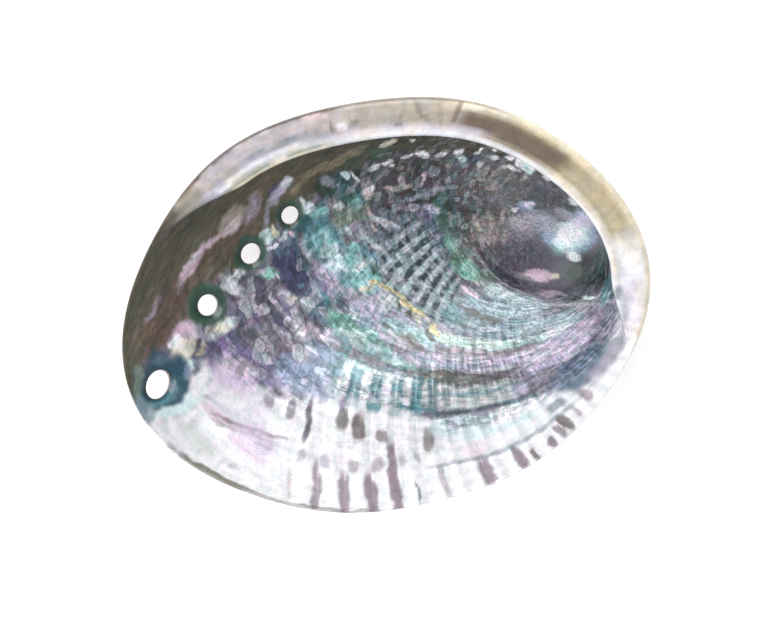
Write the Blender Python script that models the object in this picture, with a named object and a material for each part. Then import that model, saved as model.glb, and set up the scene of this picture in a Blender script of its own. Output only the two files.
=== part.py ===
"""Abalone shell, lying on its back with the mouth up.

One closed solid: the ribbed back with its low spire, the thin outer lip, the broad inner plate along the
far side, the deep bowl with the chamber under the spire, and the row of holes along the left side, four of
them open and the older ones closed. Lengths are millimetres until the last step, angles are degrees.
"""
import math

import bmesh
import bpy
import numpy as np
from mathutils import Matrix, Vector

MM = 0.001
NAME = "abalone_shell"

# Margin: its distance from the middle of the bowl is a cosine and sine series of the angle
BOWL_MIDDLE = (0.0, 5.0)
MARGIN_COSINES = (61.2, -0.1, 7.0, 0.7, 0.2, 0.6, 0.0, 0.3)
MARGIN_SINES = (0.0, -5.7, 3.4, -1.0, 0.8, -0.3, 0.4, 0.0)
RIM_HEIGHTS = ((0, 0.6), (60, 2.0), (110, 2.2), (155, 0.8), (203, -2.4), (238, -0.8), (275, 0.4),
               (325, 0.6))

# Bowl: depth below the rim, falling as a round part and a steep part of the distance to the margin
DEPTH = 29.0
BOWL_ROUND_SHARE = ((0, 0.40), (60, 0.34), (115, 0.34), (165, 0.42), (203, 0.54), (240, 0.70), (285, 0.78),
                    (330, 0.56))
BOWL_STEEPNESS = ((0, 5.4), (60, 6.4), (115, 6.4), (165, 5.4), (203, 3.8), (240, 3.2), (285, 3.0),
                  (330, 3.8))
LIP_FLARE = ((0, 0.0), (180, 0.0), (215, 0.16), (250, 0.30), (300, 0.30), (340, 0.10))
FLARE_POWER = 1.35
RESTING_MIDDLE = (1.5, 6.0)
RESTING_CLEARING = 17.0
RESTING_CUT = 0.45

# Wall: thin at the lip, full thickness from a third of the way in
WALL_LIP = 1.0
WALL_BOWL = 2.5
WALL_RAMP = (1.0, 0.64)
MARGIN_SETTLE = (1.01, 0.97)
STEEPEST_STRETCH = 2.3

# Growth: the margin's outline shrinks and turns about the apex along an equiangular spiral
APEX = (46.6, 10.7)
GROWTH_RATE = 0.955
SPIRE_RATE = 0.34
SPIRE_STARTS = -1.55
SPIRE_ROUNDNESS = 0.30
SPIRE_ROUNDING = (-1.05, -1.85)
SMALLEST_RADIUS = 0.001

# Back: cords along the growth spiral, folds along old margins, the spire and its seam
CORD_SPACING = 6.2
CORD_FIRST = 205.0
CORD_COUNT = 27
CORD_ENDS = (0.0, 2.0, 24.0, 27.0)
CORD_UNEVENNESS = (0.25, 1.9)
CORD_HEIGHT = 0.6
CORD_AGES = (-0.62, -0.15)
CORD_REACH = (0.42, 0.75)
FOLDS = ((-0.07, 0.025, 0.45), (-0.17, 0.030, 0.60), (-0.29, 0.035, 0.50), (-0.42, 0.040, 0.70),
         (-0.58, 0.045, 0.55), (-0.78, 0.060, 0.70), (-1.02, 0.080, 0.50), (-1.30, 0.090, 0.60))
SPIRE_MIDDLE = (45.4, 13.0)
SPIRE_RADIUS = 13.5
SPIRE_HEIGHT = 4.2
SEAM_START = 342.0
SEAM_SPIRAL = (12.5, 0.19)
SEAM_OPENING = (9.1, 1.8)
SEAM_TURNS = 3
SEAM_DEPTH = 1.3
SEAM_TIP_FADE = (1.0, 6.0)
SEAM_WIDTHS = (0.7, 0.1)
SEAM_MARGIN_FADE = (1.0, 0.72)
SPIRE_CLEARING = (10.0, 40.0)
WHORL_BULGE = 0.17
WHORL_WIDEST = 6.0
WHORL_START = (0.0, 1.6)

# Holes, oldest last: place, width of the hollow round it, and the open holes' width and length
OPEN_HOLES = ((-60.6, -21.1, 12.5, 5.9, 8.2), (-47.6, 0.0, 12.0, 5.3, 5.8),
              (-36.2, 13.8, 11.5, 5.0, 5.7), (-25.7, 24.1, 11.0, 4.4, 4.9))
CLOSED_HOLES = ((-15.3, 32.2, 8.5), (-5.2, 34.7, 7.5), (4.6, 36.6, 6.8), (15.0, 38.2, 6.0),
                (23.8, 38.9, 5.2), (31.2, 38.2, 4.6), (37.2, 35.6, 4.0))
KNOB_HEIGHT = 0.17
KNOB_SPREAD = 0.46
WORN_KNOBS = (5.3, 7.5)
HOLLOW_DEPTH = 0.10
HOLLOW_SPREAD = 0.34
CRATER_DEPTH = 0.07
CRATER_SPREAD = 0.20
HOLE_SLOPE_STEP = 1.0
HOLE_LEAN = 0.2
HOLE_TAPER = 0.94
HOLE_TURN = 62.0
HOLE_SIDES = 28
CUTTER_REACH = 9.0

# Inside: the chamber's raised edge is a shallow curve below the spire, with a thick apron in front
CHAMBER_EDGE_LOW = (47.0, 1.9)
CHAMBER_EDGE_CURVE = (0.012, 0.000016)
CHAMBER_EDGE_START = (20.0, 33.0)
CHAMBER_EDGE_END = (0.93, 0.84)
CHAMBER_EDGE_HEIGHT = 1.5
CHAMBER_EDGE_HALF_WIDTH = 2.3
CHAMBER_EDGE_FAINT = 0.05
APRON_HEIGHT = 2.0
APRON_REACH = (-9.0, 0.0, 0.0, 3.0)
CHAMBER_DROP = 0.3
CHAMBER_REACH = (0.0, 6.0, 12.0, 22.0)
LIP_FOLD_HEIGHT = 0.42
LEDGES = ((-0.093, 0.020, 0.25), (-0.251, 0.025, 0.30), (-0.386, 0.025, 0.35), (-0.489, 0.025, 0.35))

# Inner plate: where it starts and ends, and its section as shares of its width and heights over the rim
PLATE_WIDTH = 10.3
PLATE_LEFT_END = (170.0, 143.0)
PLATE_RIGHT_END = (-18.0, 2.0)
PLATE_SECTION = ((0.02, 0.8), (0.09, 1.6), (0.30, 1.6), (0.50, 1.1), (0.70, 0.3), (0.91, 1.1), (1.00, 0.2),
                 (0.93, -1.3), (0.74, -3.8))
PLATE_ROOT = 0.50
LIP_SECTION = ((0.05, 0.35), (0.20, 0.70), (0.45, 0.93), (0.75, 1.0), (1.15, 1.0), (1.60, 1.0), (2.05, 1.0),
               (2.50, 1.0), (2.95, 1.0))
LIP_ROOT = 3.4

# Mesh: rows of the back and the bowl by their share of the way to the margin, and the finest edges
BACK_ROWS = (0.0, 0.22, 0.36, 0.48, 0.59, 0.69, 0.78, 0.86, 0.93, 1.0)
BOWL_ROWS = (1.0, 0.92, 0.83, 0.74, 0.65, 0.55, 0.45, 0.34, 0.22, 0.11, 0.0)
SIDE_COLUMNS = 36
CORD_COLUMNS_SECTOR = (212.0, 248.0, 296.0, 330.0)
CORD_COLUMNS_REACH = (0.42, 0.72)
STEEPEST_LEAN = 40.0
PATH_STEPS = 60
REFINING_ROUNDS = 4
SPLIT_RATIO = 1.35
SPIRE_EDGE = 1.6
SPIRE_EDGE_REACH = 12.5
SPIRE_TIP_EDGE = 1.0
SPIRE_TIP_REACH = 6.5
SEAM_EDGE_REACH = 2.2
SEAM_EDGE_END = 0.84
HOLE_EDGE_SHARE = 0.30
HOLE_EDGE_REACH = 1.2
CHAMBER_EDGE_SIZE = 1.5
CHAMBER_EDGE_REACH = 3.4
COARSE_EDGE = 30.0

# Tables and solver
TABLE_STEPS = 720
SOLVER_ROUNDS = 40
OLDEST_GROWTH = -6.0
NEWEST_GROWTH = 0.3
SLOPE_STEP = 0.05
ANGLE_STEP = 0.5
TINY = 1e-6


def ease(value):
    """Smooth step from 0 to 1."""
    value = np.clip(value, 0.0, 1.0)
    return value * value * (3.0 - 2.0 * value)


def around(angle, stops):
    """Value at an angle, eased between stops placed round the circle."""
    angle = np.mod(angle, 360.0)
    places = [stops[-1][0] - 360.0] + [place for place, _ in stops] + [stops[0][0] + 360.0]
    values = [stops[-1][1]] + [value for _, value in stops] + [stops[0][1]]
    result = np.zeros_like(angle)
    for low, high, start, end in zip(places, places[1:], values, values[1:]):
        inside = (angle >= low) & (angle < high)
        result = np.where(inside, start + (end - start) * ease((angle - low) / (high - low)), result)
    return result


def ramp(value, ends):
    """0 at the first end, easing to 1 at the second."""
    return ease((value - ends[0]) / (ends[1] - ends[0]))


def window(value, ends):
    """1 between the two middle ends, easing to 0 at the outer two."""
    return ramp(value, ends[:2]) * ramp(value, (ends[3], ends[2]))


def margin_radius(angle):
    """Distance from the middle of the bowl to the margin."""
    turn = np.radians(angle)
    radius = np.zeros_like(turn)
    for order, (cosine, sine) in enumerate(zip(MARGIN_COSINES, MARGIN_SINES)):
        radius = radius + cosine * np.cos(order * turn) + sine * np.sin(order * turn)
    return radius


def polar(x, y):
    """Share of the way from the middle of the bowl to the margin, and the angle."""
    dx = x - BOWL_MIDDLE[0]
    dy = y - BOWL_MIDDLE[1]
    angle = np.mod(np.degrees(np.arctan2(dy, dx)), 360.0)
    return np.hypot(dx, dy) / margin_radius(angle), angle


def from_polar(share, angle):
    """Plan position of a share of the way to the margin at an angle."""
    radius = share * margin_radius(angle)
    x = BOWL_MIDDLE[0] + radius * np.cos(np.radians(angle))
    y = BOWL_MIDDLE[1] + radius * np.sin(np.radians(angle))
    return x, y


def margin_from_apex():
    """Margin's distance from the apex, every half degree of the angle about the apex."""
    angle = np.linspace(0.0, 360.0, 4 * TABLE_STEPS, endpoint=False)
    x, y = from_polar(np.ones_like(angle), angle)
    seen = np.mod(np.degrees(np.arctan2(y - APEX[1], x - APEX[0])), 360.0)
    order = np.argsort(seen)
    grid = np.linspace(0.0, 360.0, TABLE_STEPS + 1)
    distance = np.hypot(x - APEX[0], y - APEX[1])
    return grid, np.interp(grid, seen[order], distance[order], period=360.0)


def margin_travel():
    """Length along the margin up to each angle about the apex."""
    turn = np.radians(MARGIN_GRID)
    steps = np.hypot(np.diff(MARGIN_FROM_APEX * np.cos(turn)), np.diff(MARGIN_FROM_APEX * np.sin(turn)))
    return np.r_[0.0, np.cumsum(steps)]


MARGIN_GRID, MARGIN_FROM_APEX = margin_from_apex()
MEAN_LOG_MARGIN = float(np.mean(np.log(MARGIN_FROM_APEX)))
MARGIN_TRAVEL = margin_travel()
FIRST_CORD_TRAVEL = float(np.interp(CORD_FIRST, MARGIN_GRID, MARGIN_TRAVEL))


def turned_back(growth):
    """Degrees that the outline at a growth stage, the log of its scale, is turned back from today's."""
    young = np.minimum(growth - SPIRE_STARTS, 0.0)
    grown = np.maximum(growth, SPIRE_STARTS)
    return np.degrees(-grown / GROWTH_RATE - young / SPIRE_RATE)


def log_outline(angle, growth):
    """Log of the outline's distance from the apex; young outlines are rounder."""
    full = np.log(np.interp(np.mod(angle, 360.0), MARGIN_GRID, MARGIN_FROM_APEX))
    keep = 1.0 - (1.0 - SPIRE_ROUNDNESS) * ramp(growth, SPIRE_ROUNDING)
    return MEAN_LOG_MARGIN + keep * (full - MEAN_LOG_MARGIN)


def growth_place(x, y):
    """Growth stage of a point, and its angle on the outline of that stage."""
    dx = x - APEX[0]
    dy = y - APEX[1]
    log_radius = np.log(np.maximum(np.hypot(dx, dy), SMALLEST_RADIUS))
    seen = np.degrees(np.arctan2(dy, dx))
    low = np.full_like(log_radius, OLDEST_GROWTH)
    high = np.full_like(log_radius, NEWEST_GROWTH)
    for _ in range(SOLVER_ROUNDS):
        middle = 0.5 * (low + high)
        short = middle + log_outline(seen + turned_back(middle), middle) < log_radius
        low = np.where(short, middle, low)
        high = np.where(short, high, middle)
    growth = 0.5 * (low + high)
    return growth, np.mod(seen + turned_back(growth), 360.0)


def plain_bowl(x, y):
    """Height of the back without relief, the rim's mean height being 0."""
    share, angle = polar(x, y)
    rounded = around(angle, BOWL_ROUND_SHARE)
    flare = around(angle, LIP_FLARE)
    steep = np.power(share, around(angle, BOWL_STEEPNESS))
    drop = 1.0 - rounded * share ** 2 - (1.0 - rounded) * steep
    flared = 0.5 + 0.5 * np.cos(math.pi * np.minimum(share, 1.0) ** FLARE_POWER)
    rim = around(angle, RIM_HEIGHTS) * share ** 3
    return rim - DEPTH * ((1.0 - flare) * drop + flare * flared)


def stretch(x, y):
    """Vertical length of one unit of wall thickness, from the slope of the plain bowl."""
    slope_x = (plain_bowl(x + SLOPE_STEP, y) - plain_bowl(x - SLOPE_STEP, y)) / (2 * SLOPE_STEP)
    slope_y = (plain_bowl(x, y + SLOPE_STEP) - plain_bowl(x, y - SLOPE_STEP)) / (2 * SLOPE_STEP)
    return np.minimum(np.sqrt(1.0 + slope_x ** 2 + slope_y ** 2), STEEPEST_STRETCH)


def bump(distance, half_width):
    """Rounded bump of height 1."""
    return np.exp(-(distance / half_width) ** 2)


def cord_number(cord_angle):
    """Number of cords, whole or not, between the first one and a place on today's margin."""
    travelled = np.interp(cord_angle, MARGIN_GRID, MARGIN_TRAVEL) - FIRST_CORD_TRAVEL
    return np.mod(travelled, MARGIN_TRAVEL[-1]) / CORD_SPACING


def cord_wave(share, growth, cord_angle, height):
    """Cords across the lip, fading on the older part of the shell."""
    number = cord_number(cord_angle)
    uneven = 1.0 + CORD_UNEVENNESS[0] * np.sin(CORD_UNEVENNESS[1] * number)
    reach = ramp(growth, CORD_AGES) * ramp(share, CORD_REACH)
    return height * uneven * np.cos(2 * math.pi * number) * window(number, CORD_ENDS) * reach


def seam_radius(turned):
    """Distance of the spire's seam from the apex, by the turn back from the margin in radians."""
    spiral, tightening = SEAM_SPIRAL
    opening, closing = SEAM_OPENING
    return spiral * np.exp(-tightening * turned) + opening * np.exp(-closing * turned)


def spire_dome(x, y):
    """Height of the low dome that the spire and its chamber share."""
    return SPIRE_HEIGHT * bump(np.hypot(x - SPIRE_MIDDLE[0], y - SPIRE_MIDDLE[1]), SPIRE_RADIUS)


def whorls(x, y):
    """Distance from the spire's seam, and how far the whorls bulge between its turns."""
    from_apex = np.hypot(x - APEX[0], y - APEX[1])
    turned = np.radians(np.mod(SEAM_START - np.degrees(np.arctan2(y - APEX[1], x - APEX[0])), 360.0))
    away = np.full_like(from_apex, COARSE_EDGE)
    bulge = np.zeros_like(from_apex)
    for turn in range(SEAM_TURNS):
        outer = seam_radius(turned + 2 * math.pi * turn)
        inner = seam_radius(turned + 2 * math.pi * (turn + 1))
        away = np.minimum(away, np.abs(from_apex - outer))
        across = np.clip((from_apex - inner) / (outer - inner), 0.0, 1.0)
        start = ramp(turned, WHORL_START) if turn == 0 else 1.0
        strength = WHORL_BULGE * np.minimum(outer - inner, WHORL_WIDEST) * start
        bulge = bulge + 4.0 * across * (1.0 - across) * strength
    return away, bulge


def clear_of_spire(x, y):
    """Share of the cords and folds that is left near the apex, where they crowd together."""
    return ramp(np.hypot(x - APEX[0], y - APEX[1]), SPIRE_CLEARING)


def back_relief(x, y):
    """How far the back stands out from the plain bowl: cords, folds, knobs and the spire with its seam."""
    growth, cord_angle = growth_place(x, y)
    share, _ = polar(x, y)
    relief = cord_wave(share, growth, cord_angle, CORD_HEIGHT)
    for stage, half_width, height in FOLDS:
        relief = relief + height * bump(growth - stage, half_width)
    from_apex = np.hypot(x - APEX[0], y - APEX[1])
    away, bulge = whorls(x, y)
    half_width = SEAM_WIDTHS[0] + SEAM_WIDTHS[1] * from_apex
    seam = SEAM_DEPTH * ramp(from_apex, SEAM_TIP_FADE) * bump(away, half_width)
    relief = relief * clear_of_spire(x, y) + spire_dome(x, y)
    relief = relief + (bulge - seam) * ramp(share, SEAM_MARGIN_FADE)
    for hole_x, hole_y, width in hole_hollows():
        knob = KNOB_HEIGHT * width * ramp(width, WORN_KNOBS)
        relief = relief + knob * bump(np.hypot(x - hole_x, y - hole_y), KNOB_SPREAD * width)
    for hole_x, hole_y, width in CLOSED_HOLES:
        crater = CRATER_DEPTH * width * ramp(width, WORN_KNOBS)
        relief = relief - crater * bump(np.hypot(x - hole_x, y - hole_y), CRATER_SPREAD * width)
    resting = bump(np.hypot(x - RESTING_MIDDLE[0], y - RESTING_MIDDLE[1]), RESTING_CLEARING)
    return relief * (1.0 - resting)


def chamber_edge(x, y):
    """Distance of a point behind the chamber's raised edge, and how strong the edge is there."""
    along = x - CHAMBER_EDGE_LOW[0]
    square, fourth = CHAMBER_EDGE_CURVE
    edge = CHAMBER_EDGE_LOW[1] + square * along ** 2 + fourth * along ** 4
    slope = 2.0 * square * along + 4.0 * fourth * along ** 3
    share, _ = polar(x, y)
    strength = ramp(x, CHAMBER_EDGE_START) * ramp(share, CHAMBER_EDGE_END)
    return (y - edge) / np.sqrt(1.0 + slope ** 2), strength


def bowl_relief(x, y):
    """How far the inside stands up from an even wall: lip folds, ledges, hollows and the chamber's edge."""
    growth, cord_angle = growth_place(x, y)
    share, _ = polar(x, y)
    relief = -cord_wave(share, growth, cord_angle, LIP_FOLD_HEIGHT)
    for stage, half_width, height in LEDGES:
        relief = relief + height * bump(growth - stage, half_width)
    relief = relief * clear_of_spire(x, y)
    behind, strength = chamber_edge(x, y)
    crest = CHAMBER_EDGE_HEIGHT * bump(behind, CHAMBER_EDGE_HALF_WIDTH)
    apron = APRON_HEIGHT * window(behind, APRON_REACH)
    drop = CHAMBER_DROP * window(behind, CHAMBER_REACH)
    relief = relief + strength * (crest + apron - drop) - spire_dome(x, y)
    for hole_x, hole_y, width in hole_hollows():
        hollow = HOLLOW_DEPTH * width
        relief = relief - hollow * bump(np.hypot(x - hole_x, y - hole_y), HOLLOW_SPREAD * width)
    return relief


def hole_hollows():
    """Place and width of the hollow round every hole, open and closed."""
    return [hole[:3] for hole in OPEN_HOLES] + list(CLOSED_HOLES)


def back_height(x, y):
    """Height of the back."""
    share, _ = polar(x, y)
    return plain_bowl(x, y) - back_relief(x, y) * stretch(x, y) * ramp(share, MARGIN_SETTLE)


def inner_height(x, y):
    """Height of the bowl's inside."""
    share, _ = polar(x, y)
    wall = WALL_LIP + (WALL_BOWL - WALL_LIP) * ramp(share, WALL_RAMP)
    return plain_bowl(x, y) + (wall + bowl_relief(x, y)) * stretch(x, y)


def plate_weight(angle):
    """How much of the inner plate there is at an angle."""
    angle = np.mod(angle + 90.0, 360.0) - 90.0
    left = ease((PLATE_LEFT_END[0] - angle) / (PLATE_LEFT_END[0] - PLATE_LEFT_END[1]))
    right = ease((angle - PLATE_RIGHT_END[0]) / (PLATE_RIGHT_END[1] - PLATE_RIGHT_END[0]))
    return left * right


def inset_share(inset, angle):
    """Share of the way to the margin of a point that lies a given distance inside the margin."""
    radius = margin_radius(angle)
    change = margin_radius(angle + ANGLE_STEP) - margin_radius(angle - ANGLE_STEP)
    slope = change / (2 * math.radians(ANGLE_STEP)) / radius
    return 1.0 - inset * np.sqrt(1.0 + slope ** 2) / radius


def edge_section(angle):
    """Shares and heights of the rows from the margin over the plate or the lip to the inside wall."""
    weight = plate_weight(angle)
    rim = around(angle, RIM_HEIGHTS)
    rows = [(np.ones_like(angle), rim)]
    for (plate_share, plate_up), (lip_inset, lip_up) in zip(PLATE_SECTION, LIP_SECTION):
        inset = weight * plate_share * PLATE_WIDTH + (1.0 - weight) * lip_inset
        lip_share = inset_share(lip_inset, angle)
        lip_height = rim + lip_up * (inner_height(*from_polar(lip_share, angle)) - rim)
        rows.append((inset_share(inset, angle), weight * (rim + plate_up) + (1.0 - weight) * lip_height))
    root = inset_share(weight * PLATE_ROOT * PLATE_WIDTH + (1.0 - weight) * LIP_ROOT, angle)
    rows.append((root, inner_height(*from_polar(root, angle))))
    return rows


def column_angles():
    """Angles of the mesh columns at the margin: one on each cord's crest and trough, the rest evenly."""
    start = FIRST_CORD_TRAVEL
    end = start + CORD_COUNT * CORD_SPACING
    cords = np.linspace(start, end, 2 * CORD_COUNT + 1)
    others = np.linspace(end, start + MARGIN_TRAVEL[-1], SIDE_COLUMNS + 2)[1:-1]
    travel = np.mod(np.r_[cords, others], MARGIN_TRAVEL[-1])
    seen = np.interp(travel, MARGIN_TRAVEL, MARGIN_GRID)
    reach = np.interp(seen, MARGIN_GRID, MARGIN_FROM_APEX)
    x = APEX[0] + reach * np.cos(np.radians(seen))
    y = APEX[1] + reach * np.sin(np.radians(seen))
    _, angles = polar(x, y)
    return np.unwrap(angles, period=360.0)


def column_paths(angles):
    """Angle of every column at even shares of the way in: along the cords near the lip, else straight."""
    along_cords = math.degrees(math.atan(1.0 / GROWTH_RATE))
    shares = np.linspace(1.0, 0.0, PATH_STEPS + 1)
    sector = window(np.mod(angles, 360.0), CORD_COLUMNS_SECTOR)
    paths = [angles]
    for outer, inner in zip(shares, shares[1:]):
        x, y = from_polar(outer, paths[-1])
        course = np.degrees(np.arctan2(y - APEX[1], x - APEX[0])) + along_cords
        lean = np.mod(course - paths[-1] + 180.0, 360.0) - 180.0
        slant = np.tan(np.radians(np.clip(lean, -STEEPEST_LEAN, STEEPEST_LEAN)))
        step = math.log(outer / max(inner, TINY)) * ramp(outer, CORD_COLUMNS_REACH)
        paths.append(paths[-1] - np.degrees(slant) * sector * step)
    return np.array(paths)


def on_path(paths, column, share):
    """Angle at a column and a share of the way to the margin, both whole or between."""
    columns = paths.shape[1]
    column = np.mod(column, columns)
    depth = np.clip((1.0 - share) * PATH_STEPS, 0.0, PATH_STEPS - TINY)
    left = np.floor(column).astype(int)
    step = np.floor(depth).astype(int)
    right = (left + 1) % columns
    wrap = np.where(right == 0, 360.0, 0.0)
    near = paths[step, left] * (left + 1 - column) + (paths[step, right] + wrap) * (column - left)
    far = paths[step + 1, left] * (left + 1 - column) + (paths[step + 1, right] + wrap) * (column - left)
    return near * (step + 1 - depth) + far * (depth - step)


def place(column, row, paths):
    """Surface point of a column and a row, whole or between."""
    start = on_path(paths, column, np.ones_like(column))
    back_end = len(BACK_ROWS) - 1
    bowl_start = back_end + len(PLATE_SECTION) + 1
    section = edge_section(start)
    shares = np.array([share for share, _ in section])
    heights = np.array([height for _, height in section])
    step = np.clip(row - back_end, 0.0, len(section) - 1 - TINY)
    lower = np.floor(step).astype(int)
    part = step - lower
    item = np.arange(len(start))
    edge_share = shares[lower, item] * (1.0 - part) + shares[lower + 1, item] * part
    edge_height = heights[lower, item] * (1.0 - part) + heights[lower + 1, item] * part
    back_share = np.interp(row, np.arange(back_end + 1), BACK_ROWS)
    bowl_share = np.interp(row - bowl_start, np.arange(len(BOWL_ROWS)), BOWL_ROWS) * shares[-1]
    on_back = row <= back_end
    in_bowl = row >= bowl_start
    share = np.where(on_back, back_share, np.where(in_bowl, bowl_share, edge_share))
    x, y = from_polar(share, on_path(paths, column, share))
    height = np.where(on_back, back_height(x, y), np.where(in_bowl, inner_height(x, y), edge_height))
    return np.stack([x, y, height], axis=1)


def finest_edge(points, row):
    """Longest edge that the relief allows at each point."""
    x = points[:, 0]
    y = points[:, 1]
    on_back = row < len(BACK_ROWS) - 1
    in_bowl = row > len(BACK_ROWS) + len(PLATE_SECTION)
    from_apex = np.hypot(x - APEX[0], y - APEX[1])
    from_seam, _ = whorls(x, y)
    share, _ = polar(x, y)
    near_seam = (from_seam < SEAM_EDGE_REACH) & (share < SEAM_EDGE_END)
    near_spire = (from_apex < SPIRE_EDGE_REACH) & (share < SEAM_EDGE_END)
    size = np.where((near_spire | near_seam) & on_back, SPIRE_EDGE, COARSE_EDGE)
    size = np.where((from_apex < SPIRE_TIP_REACH) & on_back, SPIRE_TIP_EDGE, size)
    for hole_x, hole_y, width in hole_hollows():
        relief_side = in_bowl | (on_back & (width > WORN_KNOBS[0]))
        near = (np.hypot(x - hole_x, y - hole_y) < 0.5 * HOLE_EDGE_REACH * width) & relief_side
        size = np.where(near, np.minimum(size, HOLE_EDGE_SHARE * width), size)
    behind, strength = chamber_edge(x, y)
    on_edge = (np.abs(behind) < CHAMBER_EDGE_REACH) & (strength > CHAMBER_EDGE_FAINT) & in_bowl
    return np.where(on_edge, np.minimum(size, CHAMBER_EDGE_SIZE), size)


def chart_of(mesh, count):
    """Column and row of every vertex, read from the chart."""
    chart = np.array([vertex.co for vertex in mesh.verts])
    column = np.mod(np.degrees(np.arctan2(chart[:, 1], chart[:, 0])) / 360.0 * count, count)
    return column, chart[:, 2]


def shell_mesh():
    """Shell without its holes: a sphere whose rows and columns are laid along the shell."""
    paths = column_paths(column_angles())
    count = paths.shape[1]
    rows = len(BACK_ROWS) + len(PLATE_SECTION) + len(BOWL_ROWS) - 1
    mesh = bmesh.new()
    bmesh.ops.create_uvsphere(mesh, u_segments=count, v_segments=rows, radius=1.0)
    for vertex in mesh.verts:
        row = round(math.acos(max(-1.0, min(1.0, vertex.co.z))) / math.pi * rows)
        turn = math.atan2(vertex.co.y, vertex.co.x)
        reach = 0.0 if row in (0, rows) else 1.0
        vertex.co = (reach * math.cos(turn), reach * math.sin(turn), row)
    bmesh.ops.triangulate(mesh, faces=mesh.faces[:])
    for _ in range(REFINING_ROUNDS):
        mesh.verts.index_update()
        column, row = chart_of(mesh, count)
        points = place(column, row, paths)
        limit = finest_edge(points, row)
        ends = np.array([[vertex.index for vertex in edge.verts] for edge in mesh.edges])
        length = np.linalg.norm(points[ends[:, 0]] - points[ends[:, 1]], axis=1)
        allowed = SPLIT_RATIO * np.minimum(limit[ends[:, 0]], limit[ends[:, 1]])
        long_edges = [edge for edge, split in zip(mesh.edges, length > allowed) if split]
        bmesh.ops.subdivide_edges(mesh, edges=long_edges, cuts=1)
        bmesh.ops.triangulate(mesh, faces=[face for face in mesh.faces if len(face.verts) > 3])
    column, row = chart_of(mesh, count)
    for vertex, point in zip(mesh.verts, place(column, row, paths)):
        vertex.co = point
    bmesh.ops.recalc_face_normals(mesh, faces=mesh.faces[:])
    return mesh


def cut_resting_spot(mesh):
    """Flat face under the deepest part of the back."""
    level = -DEPTH + RESTING_CUT
    geometry = mesh.verts[:] + mesh.edges[:] + mesh.faces[:]
    cut = bmesh.ops.bisect_plane(mesh, geom=geometry, plane_co=(0, 0, level), plane_no=(0, 0, -1),
                                 clear_outer=True)
    rim = [item for item in cut["geom_cut"] if isinstance(item, bmesh.types.BMEdge)]
    for edge in rim:
        for vertex in edge.verts:
            vertex.co.z = level
    bmesh.ops.holes_fill(mesh, edges=rim, sides=0)
    bmesh.ops.recalc_face_normals(mesh, faces=mesh.faces[:])
    return level


def settle_frame(mesh, level):
    """Shift that puts the flat spot at height 0 and the plan's middle at the origin."""
    x = [vertex.co.x for vertex in mesh.verts]
    y = [vertex.co.y for vertex in mesh.verts]
    return Vector((-0.5 * (min(x) + max(x)), -0.5 * (min(y) + max(y)), -level))


def surface_normal(x, y):
    """Normal of the inside wall at a point, leaning towards the mouth."""
    step = HOLE_SLOPE_STEP
    point_x = np.array([x + step, x - step, x, x])
    point_y = np.array([y, y, y + step, y - step])
    heights = inner_height(point_x, point_y)
    slope_x = (heights[0] - heights[1]) / (2 * step)
    slope_y = (heights[2] - heights[3]) / (2 * step)
    return Vector((-slope_x, -slope_y, 1.0)).normalized()


def hole_cutter(hole, shift):
    """Tapered oval plug through the wall at an open hole, narrower towards the back."""
    x, y, _, width, length = hole
    inside = float(inner_height(np.array([x]), np.array([y]))[0])
    outside = float(back_height(np.array([x]), np.array([y]))[0])
    axis = (surface_normal(x, y) * HOLE_LEAN + Vector((0.0, 0.0, 1.0 - HOLE_LEAN))).normalized()
    mesh = bmesh.new()
    bmesh.ops.create_cone(mesh, cap_ends=True, segments=HOLE_SIDES, radius1=0.5 * width * HOLE_TAPER,
                          radius2=0.5 * width / HOLE_TAPER, depth=CUTTER_REACH + inside - outside)
    longer = Matrix.Diagonal((length / width, 1.0, 1.0, 1.0))
    turn = Matrix.Rotation(math.radians(HOLE_TURN), 4, "Z")
    lean = Vector((0.0, 0.0, 1.0)).rotation_difference(axis).to_matrix().to_4x4()
    middle = Vector((x, y, 0.5 * (inside + outside)))
    mesh.transform(Matrix.Scale(MM, 4) @ Matrix.Translation(middle + shift) @ lean @ turn @ longer)
    return mesh


def add_object(name, mesh, collection):
    """Object made from a mesh being edited."""
    data = bpy.data.meshes.new(name)
    mesh.to_mesh(data)
    mesh.free()
    item = bpy.data.objects.new(name, data)
    collection.objects.link(item)
    return item


def nacre_material():
    """Silvery nacre, the colour that the shell shows most."""
    material = bpy.data.materials.new("nacre")
    material.use_nodes = True
    shader = material.node_tree.nodes["Principled BSDF"]
    shader.inputs["Base Color"].default_value = (0.45, 0.49, 0.52, 1.0)
    shader.inputs["Roughness"].default_value = 0.28
    shader.inputs["Metallic"].default_value = 0.2
    return material


def main():
    for item in list(bpy.data.objects):
        bpy.data.objects.remove(item, do_unlink=True)
    parts = bpy.data.collections.new(NAME)
    cutters = bpy.data.collections.new("cutters")
    bpy.context.scene.collection.children.link(parts)
    bpy.context.scene.collection.children.link(cutters)
    mesh = shell_mesh()
    level = cut_resting_spot(mesh)
    shift = settle_frame(mesh, level)
    mesh.transform(Matrix.Scale(MM, 4) @ Matrix.Translation(shift))
    shell = add_object(NAME, mesh, parts)
    shell.data.materials.append(nacre_material())
    shell.data.shade_smooth()
    for number, hole in enumerate(OPEN_HOLES, 1):
        cutter = add_object(f"hole_{number}", hole_cutter(hole, shift), cutters)
        cutter.hide_render = True
        cutter.display_type = "WIRE"
        cut = shell.modifiers.new(f"hole_{number}", "BOOLEAN")
        cut.operation = "DIFFERENCE"
        cut.solver = "EXACT"
        cut.object = cutter


main()
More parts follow.
